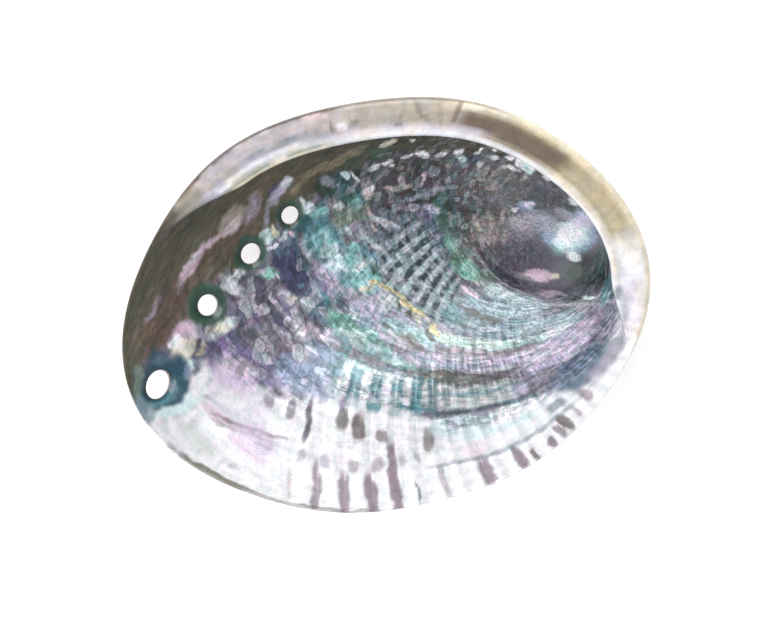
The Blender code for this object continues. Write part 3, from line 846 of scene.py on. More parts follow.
@dataclass
class ShellMesh:
    """Shell's mesh: rings from the back's middle over the edge to the bowl's middle, and the holes."""

    shape: ShellShape
    columns: int = 800
    back_rings: tuple[tuple[float, int, int], ...] = ((0.25, 12, 100), (0.55, 16, 200), (1.0, 29, 400))
    bowl_rings: tuple[tuple[float, int, int], ...] = ((0.52, 52, 800), (0.24, 32, 400), (0.0, 25, 200))
    cutter_reach: float = 9.0

    def rings(self) -> list[tuple[Values, Values, Values, Values, Side]]:
        """Rings of points from the back's middle to the bowl's middle, without the two middles.

        Returns:
            For each ring its plan positions, heights, section stations and side.
        """
        shape = self.shape
        rings = []
        start = 0.0
        for end, count, columns in self.back_rings:
            angle = np.arange(columns) * 360.0 / columns
            for share in np.linspace(start, end, count + 1)[1:]:
                if share < 1.0:
                    x, y = shape.margin.place(np.full(columns, share), angle)
                    rings.append((x, y, shape.back(x, y), np.zeros(columns), Side.BACK))
            start = end
        angle = np.arange(self.columns) * 360.0 / self.columns
        shares, heights = shape.edge.section(angle, shape.inside)
        for station, (share, height) in enumerate(zip(shares, heights)):
            x, y = shape.margin.place(share, angle)
            part = np.full(self.columns, station / shape.edge.stations)
            rings.append((x, y, height, part, Side.EDGE))
        root = shares[-1]
        start = 1.0
        for end, count, columns in self.bowl_rings:
            angle = np.arange(columns) * 360.0 / columns
            base = root[:: self.columns // columns]
            for share in np.linspace(start, end, count + 1)[1:]:
                if share > 0.0:
                    x, y = shape.margin.place(base * share, angle)
                    rings.append((x, y, shape.inside(x, y), np.ones(columns), Side.BOWL))
            start = end
        return rings

    def band(self, first: int, columns: int, second: int, others: int) -> list[tuple[int, ...]]:
        """Faces between two neighbouring rings, which may differ by a factor of two.

        Args:
            first: Index of the first ring's first point.
            columns: Points in the first ring.
            second: Index of the second ring's first point.
            others: Points in the second ring.

        Returns:
            Faces as tuples of point indices.
        """
        if columns == others:
            return [(first + i, first + (i + 1) % columns, second + (i + 1) % columns, second + i)
                    for i in range(columns)]
        if columns < others:
            return [tuple(reversed(face)) for face in self.band(second, others, first, columns)]
        faces = []
        for i in range(others):
            a, b, c = first + 2 * i, first + 2 * i + 1, first + (2 * i + 2) % columns
            d, e = second + i, second + (i + 1) % others
            faces += [(a, b, d), (b, e, d), (b, c, e)]
        return faces

    def build(self) -> tuple[bpy.types.Object, Values, Values]:
        """Makes the shell without its holes.

        Returns:
            The object, and for each point its station on the section and its side's number.
        """
        rings = self.rings()
        zero = np.zeros(1)
        middle_x = zero + self.shape.margin.middle[0]
        middle_y = zero + self.shape.margin.middle[1]
        poles = [(middle_x, middle_y, self.shape.back(middle_x, middle_y), zero, Side.BACK)]
        top = (middle_x, middle_y, self.shape.inside(middle_x, middle_y), zero + 1.0, Side.BOWL)
        stack = poles + rings + [top]
        sizes = [len(ring[0]) for ring in stack]
        starts = np.r_[0, np.cumsum(sizes)]
        points = np.concatenate([np.stack(ring[:3], axis=1) for ring in stack])
        stations = np.concatenate([ring[3] for ring in stack])
        sides = np.concatenate([np.full(len(ring[0]), ring[4].value) for ring in stack])
        faces = []
        for number in range(1, len(stack) - 2):
            faces += self.band(starts[number], sizes[number], starts[number + 1], sizes[number + 1])
        last = len(stack) - 2
        for i in range(sizes[1]):
            faces.append((0, starts[1] + (i + 1) % sizes[1], starts[1] + i))
        for i in range(sizes[last]):
            faces.append((starts[last + 1], starts[last] + i, starts[last] + (i + 1) % sizes[last]))
        data = bpy.data.meshes.new("shell")
        data.from_pydata((points * MM).tolist(), [], [tuple(int(i) for i in face) for face in faces])
        data.update()
        item = bpy.data.objects.new("shell", data)
        bpy.context.scene.collection.objects.link(item)
        return item, stations, sides

    def plug(self, hole: Hole, number: int) -> bpy.types.Object:
        """Tapered oval plug through the wall at an open hole.

        Args:
            hole: The hole.
            number: Its place in the row.

        Returns:
            The plug as an object.
        """
        shape, holes = self.shape, self.shape.holes
        x, y = np.array([hole.x]), np.array([hole.y])
        inside = float(shape.inside(x, y)[0])
        outside = float(shape.back(x, y)[0])
        step = 1.0
        around_x = np.array([hole.x + step, hole.x - step, hole.x, hole.x])
        around_y = np.array([hole.y, hole.y, hole.y + step, hole.y - step])
        heights = shape.inside(around_x, around_y)
        normal = Vector((heights[1] - heights[0], heights[3] - heights[2], 2 * step)).normalized()
        axis = (normal * holes.lean + Vector((0.0, 0.0, 1.0 - holes.lean))).normalized()
        depth = self.cutter_reach + inside - outside
        turns = [2 * math.pi * i / holes.sides for i in range(holes.sides)]
        points = []
        for end, taper in ((-0.5, holes.taper), (0.5, 1.0 / holes.taper)):
            for turn in turns:
                points.append((0.5 * hole.length * taper * math.cos(turn),
                               0.5 * hole.width * taper * math.sin(turn), end * depth))
        count = holes.sides
        faces = [(i, (i + 1) % count, count + (i + 1) % count, count + i) for i in range(count)]
        faces += [tuple(reversed(range(count))), tuple(range(count, 2 * count))]
        data = bpy.data.meshes.new(f"plug_{number}")
        data.from_pydata(points, [], faces)
        lean = Vector((0.0, 0.0, 1.0)).rotation_difference(axis).to_matrix().to_4x4()
        turn = Matrix.Rotation(math.radians(holes.turn), 4, "Z")
        place = Matrix.Translation(Vector((hole.x, hole.y, 0.5 * (inside + outside))))
        data.transform(Matrix.Scale(MM, 4) @ place @ lean @ turn)
        item = bpy.data.objects.new(f"plug_{number}", data)
        bpy.context.scene.collection.objects.link(item)
        return item

    def cut(self, shell: bpy.types.Object) -> None:
        """Cuts the open holes through the shell.

        Args:
            shell: The closed shell.
        """
        plugs = []
        for number, hole in enumerate(self.shape.holes.opened, 1):
            plug = self.plug(hole, number)
            change = shell.modifiers.new(f"hole_{number}", "BOOLEAN")
            change.operation = "DIFFERENCE"
            change.solver = "EXACT"
            change.object = plug
            plugs.append(plug)
        depsgraph = bpy.context.evaluated_depsgraph_get()
        cut = bpy.data.meshes.new_from_object(shell.evaluated_get(depsgraph))
        shell.modifiers.clear()
        old = shell.data
        shell.data = cut
        bpy.data.meshes.remove(old)
        for plug in plugs:
            data = plug.data
            bpy.data.objects.remove(plug, do_unlink=True)
            bpy.data.meshes.remove(data)


class Tone(Enum):
    """Colours of the shell as they look in soft daylight, red, green and blue from 0 to 255."""

    WHITE = (250, 249, 252)
    SNOW = (236, 236, 240)
    CYAN_WHITE = (222, 242, 244)
    PALE = (212, 218, 216)
    AQUA = (150, 208, 206)
    TEAL = (98, 150, 158)
    DEEP_TEAL = (48, 94, 104)
    TEAL_GREY = (132, 158, 166)
    PALE_AQUA = (190, 214, 218)
    GREEN = (70, 108, 84)
    DARK_GREEN = (42, 68, 54)
    RING_GREEN = (40, 84, 66)
    MINT = (152, 208, 190)
    PALE_MINT = (206, 228, 214)
    SLATE = (108, 128, 146)
    SLATE_BLUE = (152, 168, 198)
    LENS_BLUE = (34, 76, 96)
    INDIGO = (74, 74, 108)
    VIOLET = (122, 108, 150)
    MAUVE = (122, 116, 130)
    GREY_MAUVE = (154, 138, 150)
    LILAC = (202, 196, 218)
    LILAC_GREY = (168, 166, 180)
    LILAC_WHITE = (234, 224, 234)
    GAP = (50, 62, 70)
    OLIVE_GREY = (134, 132, 118)
    LILAC_PINK = (218, 200, 226)
    PLATE_DULL = (168, 166, 160)
    RIB_PALE = (186, 198, 202)
    TAN_PINK = (204, 190, 180)
    PINK = (222, 196, 212)
    CREAM = (238, 228, 204)
    CREAM_YELLOW = (222, 206, 150)
    TAN = (160, 146, 116)
    BROWN = (122, 102, 86)
    OLIVE = (92, 87, 66)
    RED_OLIVE = (98, 78, 68)
    DARK = (62, 58, 58)
    GREEN_GREY = (128, 146, 130)
    BROWN_GREY = (116, 106, 104)
    PURPLE_GREY = (96, 86, 102)
    PLATE_GREY = (182, 174, 164)
    PLATE_LILAC = (192, 184, 190)
    PLATE_BROWN = (108, 92, 80)
    PLATE_KHAKI = (180, 168, 138)
    PLATE_CREAM = (242, 231, 206)
    EDGE_BROWN = (84, 70, 58)

    def pale(self) -> bool:
        """Whether the colour is a light one."""
        return sum(self.value) > PALE_SUM

    def linear(self) -> Values:
        """The colour as light, by the usual curve of screens."""
        value = np.array(self.value) / 255.0
        return np.where(value <= 0.04045, value / 12.92, ((value + 0.055) / 1.055) ** 2.4)


@dataclass(frozen=True)
class Patch:
    """Patch of colour on the nacre, along old edges or, where it is taller than long, along the cords."""

    tone: Tone
    travel: float
    growth: float
    along: float
    across: float
    strength: float = 1.0
    soft: float = 0.5
    lean: float = 0.0


@dataclass(frozen=True)
class Dab:
    """Oval patch of colour placed in plan, in millimetres, turned by an angle."""

    tone: Tone
    x: float
    y: float
    length: float
    width: float
    turn: float = 0.0
    strength: float = 1.0
    soft: float = 0.5


@dataclass(frozen=True)
class PlateBand:
    """Band of colour on the inner plate, between two angles and two distances from the outer edge."""

    tone: Tone
    angles: Span
    insets: Span
    strength: float = 1.0
    soft: float = 0.8
    turn_soft: float = 8.0


def patches(*rows: tuple[Any, ...]) -> tuple[Patch, ...]:
    """Patches from rows of their values."""
    return tuple(Patch(*row) for row in rows)


def dabs(*rows: tuple[Any, ...]) -> tuple[Dab, ...]:
    """Dabs from rows of their values."""
    return tuple(Dab(*row) for row in rows)


def bands(*rows: tuple[Any, ...]) -> tuple[PlateBand, ...]:
    """Plate bands from rows of their values."""
    return tuple(PlateBand(*row) for row in rows)


WASHES = patches(
    # the white washes along the lip are painted highlight over pale nacre
    (Tone.LILAC_GREY, 265, -0.56, 40, 0.08), (Tone.WHITE, 310, -0.09, 88, 0.13, 1, 0.25),
    (Tone.WHITE, 284, -0.18, 24, 0.09, 1, 0.25), (Tone.LILAC, 240, -0.15, 12, 0.05, 0.5),
    (Tone.INDIGO, 227, -0.19, 9, 0.045, 0.7, 0.4, -0.004),
    (Tone.VIOLET, 240, -0.22, 12, 0.03, 0.9, 0.4, -0.002), (Tone.SLATE_BLUE, 258, -0.29, 13, 0.06),
    (Tone.MAUVE, 240, -0.335, 16, 0.085), (Tone.SNOW, 285, -0.315, 18, 0.065),
    (Tone.MINT, 270, -0.455, 18, 0.028, 0.8), (Tone.INDIGO, 231, -0.45, 13, 0.045),
    (Tone.SLATE, 249, -0.45, 6, 0.04), (Tone.PALE, 322, -0.32, 24, 0.05),
    (Tone.LILAC, 318, -0.2, 22, 0.05, 0.3), (Tone.SLATE, 359, -0.21, 12, 0.09),
    (Tone.OLIVE_GREY, 322, -0.405, 24, 0.03, 0.8), (Tone.LILAC, 358, -0.435, 19, 0.1, 1),
    (Tone.PALE_AQUA, 335, -0.885, 20, 0.055, 0.9), (Tone.LILAC, 322, -0.48, 26, 0.045, 0.75),
    (Tone.BROWN, 328, -0.528, 24, 0.013, 0.5), (Tone.PALE_MINT, 332, -0.59, 28, 0.035),
    (Tone.TEAL_GREY, 325, -0.74, 28, 0.11, 0.9), (Tone.PALE_AQUA, 362, -0.66, 18, 0.12, 0.8),
    (Tone.RIB_PALE, 281, -0.8, 27, 0.16, 0.9), (Tone.AQUA, 258, -0.63, 11, 0.06, 0.8),
    (Tone.TEAL, 240, -0.95, 8, 0.06, 0.8), (Tone.AQUA, 292, -0.55, 14, 0.03, 0.6),
    (Tone.SLATE, 250, -0.78, 9, 0.14, 0.45), (Tone.GREEN_GREY, 232, -0.67, 14, 0.06),
    (Tone.PURPLE_GREY, 222, -1, 11, 0.14), (Tone.SLATE, 262, -1.02, 20, 0.07, 0.8),
    (Tone.GREEN_GREY, 305, -1.05, 24, 0.07, 0.8), (Tone.PALE_AQUA, 345, -1, 22, 0.1, 0.8),
    (Tone.TEAL, 226, -0.56, 10, 0.045), (Tone.CYAN_WHITE, 242, -0.56, 9, 0.04),
    # the brown-grey and purple-grey washes at growth -1.3 give the chamber floor its tones, darkened as
    # painted shade
    (Tone.BROWN_GREY, 280, -1.32, 30, 0.2), (Tone.PURPLE_GREY, 325, -1.3, 30, 0.2),
    # the olive washes are painted shade and dark reflection on the left wall and on the upper wall
    (Tone.OLIVE, 174, -0.3, 38, 0.62, 1, 0.15), (Tone.OLIVE, 150, -1, 62, 0.35, 1, 0.3),
)

RIB_ZONES = (
    # gap tone, travels, growths, strength, half width of a gap in cords
    (Tone.TEAL, (266, 271, 304, 310), (-0.41, -0.38, -0.26, -0.24), 0.95, 0.29),
    (Tone.GAP, (248, 253, 305, 311), (-1.04, -0.95, -0.66, -0.64), 1.0, 0.25),
    (Tone.GREY_MAUVE, (300, 306, 345, 350), (-0.37, -0.36, -0.28, -0.26), 0.40, 0.20),
    (Tone.TEAL_GREY, (300, 306, 350, 356), (-0.62, -0.61, -0.56, -0.54), 0.35, 0.20),
    (Tone.DARK, (255, 262, 305, 310), (-1.45, -1.40, -1.15, -1.10), 0.40, 0.22),
)

MARKS = patches(
    # left wall: browner and greener patches within its painted shade
    (Tone.RED_OLIVE, 205, -0.12, 6, 0.07, 0.8), (Tone.RED_OLIVE, 204, -0.33, 7, 0.05, 0.6),
    (Tone.GREEN, 198, -0.66, 8, 0.04, 0.5),
    # lip: grooves between the cords
    (Tone.GREY_MAUVE, 261.5, -0.045, 0.8, 0.035, 0.45), (Tone.GREY_MAUVE, 268.8, -0.045, 1.2, 0.055, 0.85),
    (Tone.GREY_MAUVE, 276.6, -0.04, 1.4, 0.045, 0.9), (Tone.GREY_MAUVE, 284.2, -0.04, 1.6, 0.05, 0.95),
    (Tone.GREY_MAUVE, 291, -0.085, 1.5, 0.095, 0.95), (Tone.SLATE, 297, -0.035, 0.5, 0.03, 0.8),
    (Tone.GREY_MAUVE, 304.5, -0.05, 0.9, 0.04, 0.5), (Tone.GREY_MAUVE, 317, -0.045, 2.2, 0.045, 0.9),
    (Tone.GREY_MAUVE, 327, -0.045, 1.4, 0.045, 0.9), (Tone.BROWN_GREY, 330.4, -0.025, 1.1, 0.022, 0.9),
    (Tone.GREY_MAUVE, 336.3, -0.025, 1.1, 0.022, 0.9), (Tone.GREY_MAUVE, 340, -0.04, 1.2, 0.036, 0.9),
    (Tone.BROWN_GREY, 342.7, -0.05, 1.1, 0.045, 0.9), (Tone.GREY_MAUVE, 347.4, -0.05, 0.8, 0.03, 0.6),
    (Tone.GREY_MAUVE, 352.5, -0.08, 1.6, 0.04, 0.8),
    # lip: second row of small patches and the blobs behind them
    (Tone.LILAC_GREY, 264, -0.105, 1.5, 0.012, 0.65, 0.7, -0.003),
    (Tone.LILAC_GREY, 271.5, -0.105, 1.5, 0.013, 0.65, 0.7, 0.002),
    (Tone.GREY_MAUVE, 279, -0.105, 1.7, 0.017, 0.65, 0.7, 0.002),
    (Tone.GREY_MAUVE, 286.5, -0.11, 1.9, 0.017, 0.65, 0.7, -0.003),
    (Tone.LILAC_GREY, 294, -0.12, 1.1, 0.015, 0.65, 0.7, -0.003),
    (Tone.LILAC_GREY, 299, -0.125, 1.1, 0.015, 0.65, 0.7, 0.002),
    (Tone.BROWN_GREY, 303, -0.175, 1.6, 0.04, 0.8), (Tone.PURPLE_GREY, 264, -0.185, 0.9, 0.055, 0.95),
    (Tone.BROWN_GREY, 275, -0.215, 2, 0.03, 0.8), (Tone.BROWN_GREY, 281, -0.205, 2.2, 0.04, 0.95),
    (Tone.BROWN_GREY, 288.5, -0.185, 2, 0.018, 0.8), (Tone.VIOLET, 274, -0.25, 1.5, 0.022, 0.7),
    (Tone.MAUVE, 250, -0.19, 1.5, 0.018, 0.7), (Tone.MAUVE, 257.5, -0.19, 1.5, 0.02, 0.8),
    # lip: towards the last hole
    (Tone.PINK, 237, -0.1, 7, 0.01, 0.7), (Tone.GREY_MAUVE, 247, -0.112, 12, 0.0045, 0.9, 0.5, -0.0012),
    (Tone.GREY_MAUVE, 244, -0.098, 10, 0.003, 0.7, 0.5, -0.0012),
    (Tone.LILAC_PINK, 250, -0.09, 7.5, 0.03, 0.75, 0.9), (Tone.VIOLET, 252, -0.088, 3, 0.01, 0.3, 0.9),
    (Tone.PINK, 246, -0.075, 4, 0.008, 0.5, 0.9), (Tone.PALE, 232, -0.04, 8, 0.018, 0.6),
    (Tone.PINK, 236, -0.18, 8, 0.03, 0.4), (Tone.OLIVE_GREY, 240, -0.005, 10, 0.006, 0.95),
    (Tone.BROWN_GREY, 265, -0.003, 20, 0.003, 0.8),
    # middle of the bowl
    (Tone.LILAC, 244, -0.365, 14, 0.006, 0.9), (Tone.CREAM, 240, -0.4, 3, 0.014, 0.8),
    (Tone.SNOW, 251, -0.36, 3.5, 0.018, 0.8), (Tone.CREAM, 256, -0.32, 1.8, 0.022, 0.7),
    (Tone.WHITE, 272.5, -0.315, 2, 0.055, 0.9), (Tone.CYAN_WHITE, 285, -0.372, 18, 0.006, 0.9),
    (Tone.DEEP_TEAL, 286, -0.384, 14, 0.005, 0.8), (Tone.DEEP_TEAL, 265, -0.455, 1.4, 0.028, 0.8),
    (Tone.LILAC, 270, -0.52, 9, 0.022, 0.8),
    # towards the right
    (Tone.SLATE, 328, -0.092, 24, 0.0035, 0.9), (Tone.PINK, 316, -0.13, 4, 0.03, 0.4),
    (Tone.CYAN_WHITE, 326, -0.17, 14, 0.02, 0.8), (Tone.SLATE, 344, -0.14, 3.2, 0.022, 0.7),
    (Tone.WHITE, 332, -0.215, 9, 0.032, 0.95), (Tone.CYAN_WHITE, 314, -0.215, 10, 0.035, 0.8),
    (Tone.TEAL, 300, -0.278, 7, 0.008, 0.9), (Tone.DEEP_TEAL, 316, -0.266, 12, 0.005, 0.8),
    (Tone.TEAL, 336, -0.25, 8, 0.007, 0.8, 0.5, 0.003), (Tone.INDIGO, 341, -0.32, 5, 0.04, 0.55),
    (Tone.LILAC, 338, -0.305, 3, 0.03, 0.8), (Tone.LILAC_GREY, 366, -0.11, 10, 0.045, 0.85, 0.8),
    (Tone.LILAC_GREY, 380, -0.27, 9, 0.09, 0.85, 1), (Tone.SNOW, 385, -0.16, 8, 0.1, 0.8),
    (Tone.PINK, 374, -0.45, 5, 0.04, 0.6), (Tone.BROWN_GREY, 354, -0.63, 9, 0.005, 0.8),
    (Tone.WHITE, 364, -0.58, 7, 0.04, 0.7), (Tone.PINK, 314, -0.905, 7, 0.014, 0.85),
    (Tone.INDIGO, 327, -0.925, 6, 0.02, 0.7), (Tone.CYAN_WHITE, 331, -0.985, 6, 0.014, 0.8),
    (Tone.DARK, 322, -0.775, 10, 0.005, 0.75, 0.6), (Tone.DARK, 330, -0.825, 12, 0.0045, 0.75, 0.6, 0.001),
    (Tone.DARK, 318, -0.68, 9, 0.005, 0.7, 0.6), (Tone.SLATE, 340, -0.725, 12, 0.005, 0.8, 0.6),
    (Tone.DARK, 344, -0.94, 11, 0.007, 0.75, 0.6), (Tone.SLATE, 352, -0.87, 10, 0.007, 0.8, 0.6),
    (Tone.WHITE, 336, -0.8, 12, 0.006, 0.6, 0.6), (Tone.WHITE, 328, -0.7, 10, 0.006, 0.6, 0.6),
    (Tone.TEAL, 310, -0.7, 6, 0.03, 0.55, 0.8), (Tone.TEAL, 346, -0.78, 8, 0.02, 0.55, 0.8),
    (Tone.INDIGO, 336, -0.41, 14, 0.0045, 0.75, 0.6), (Tone.SLATE, 318, -0.46, 14, 0.0045, 0.7, 0.6),
    (Tone.SNOW, 330, -0.435, 12, 0.006, 0.6, 0.6), (Tone.GREY_MAUVE, 352, -0.47, 12, 0.005, 0.75, 0.6),
    (Tone.GREY_MAUVE, 360, -0.4, 10, 0.005, 0.7, 0.6), (Tone.WHITE, 350, -0.5, 10, 0.007, 0.6, 0.6),
    (Tone.TEAL, 322, -0.335, 14, 0.012, 0.6, 0.7), (Tone.INDIGO, 372, -0.33, 7, 0.01, 0.6, 0.6),
    (Tone.LILAC_WHITE, 354, -0.425, 12, 0.03, 0.65, 0.9),
    (Tone.LILAC_WHITE, 366, -0.34, 8, 0.02, 0.6, 0.9), (Tone.TEAL, 312, -0.74, 7, 0.05, 0.6, 0.9),
    (Tone.PALE_AQUA, 327, -0.84, 9, 0.045, 0.8, 0.9), (Tone.LILAC_WHITE, 318, -0.5, 12, 0.022, 0.55, 0.9),
    # broad strokes left of the middle
    (Tone.LILAC, 239, -0.395, 5, 0.02, 0.75, 0.6), (Tone.INDIGO, 244, -0.34, 6, 0.016, 0.6, 0.6),
    (Tone.TAN_PINK, 238, -0.3, 4, 0.014, 0.55, 0.6), (Tone.DARK, 249, -0.3, 4, 0.01, 0.55, 0.6),
    (Tone.LILAC_WHITE, 254, -0.385, 4, 0.012, 0.7, 0.6), (Tone.LILAC, 262, -0.405, 5, 0.016, 0.65, 0.6),
    (Tone.INDIGO, 236, -0.56, 5, 0.05, 0.75, 0.6), (Tone.VIOLET, 246, -0.5, 9, 0.012, 0.7, 0.6),
    (Tone.TEAL, 252, -0.56, 5, 0.018, 0.75, 0.6), (Tone.AQUA, 250, -0.61, 6, 0.024, 0.8, 0.6),
    (Tone.SLATE_BLUE, 262, -0.35, 8, 0.03, 0.7, 0.6), (Tone.SNOW, 246, -0.425, 3, 0.016, 0.8, 0.5),
    (Tone.DEEP_TEAL, 258, -0.5, 3, 0.016, 0.7, 0.5), (Tone.TEAL, 282, -0.44, 8, 0.02, 0.75, 0.6),
    (Tone.MINT, 292, -0.42, 8, 0.014, 0.6, 0.6), (Tone.SLATE, 276, -0.49, 5, 0.01, 0.7, 0.5),
    # inner bowl
    (Tone.PURPLE_GREY, 240, -1.12, 10, 0.02, 0.8, 0.6), (Tone.DARK, 246, -1.06, 9, 0.008, 0.75, 0.6),
    (Tone.LILAC_GREY, 242, -1.18, 9, 0.012, 0.7, 0.6), (Tone.DARK, 238, -1.23, 9, 0.01, 0.75, 0.6),
    (Tone.SNOW, 232, -0.86, 3, 0.02, 0.7, 0.5), (Tone.DARK, 236, -0.98, 7, 0.007, 0.75, 0.6),
    (Tone.TEAL_GREY, 244, -0.9, 5, 0.014, 0.7, 0.6), (Tone.CREAM, 236, -0.74, 8, 0.007, 0.6),
    (Tone.MINT, 300, -0.98, 9, 0.03, 0.6),
)

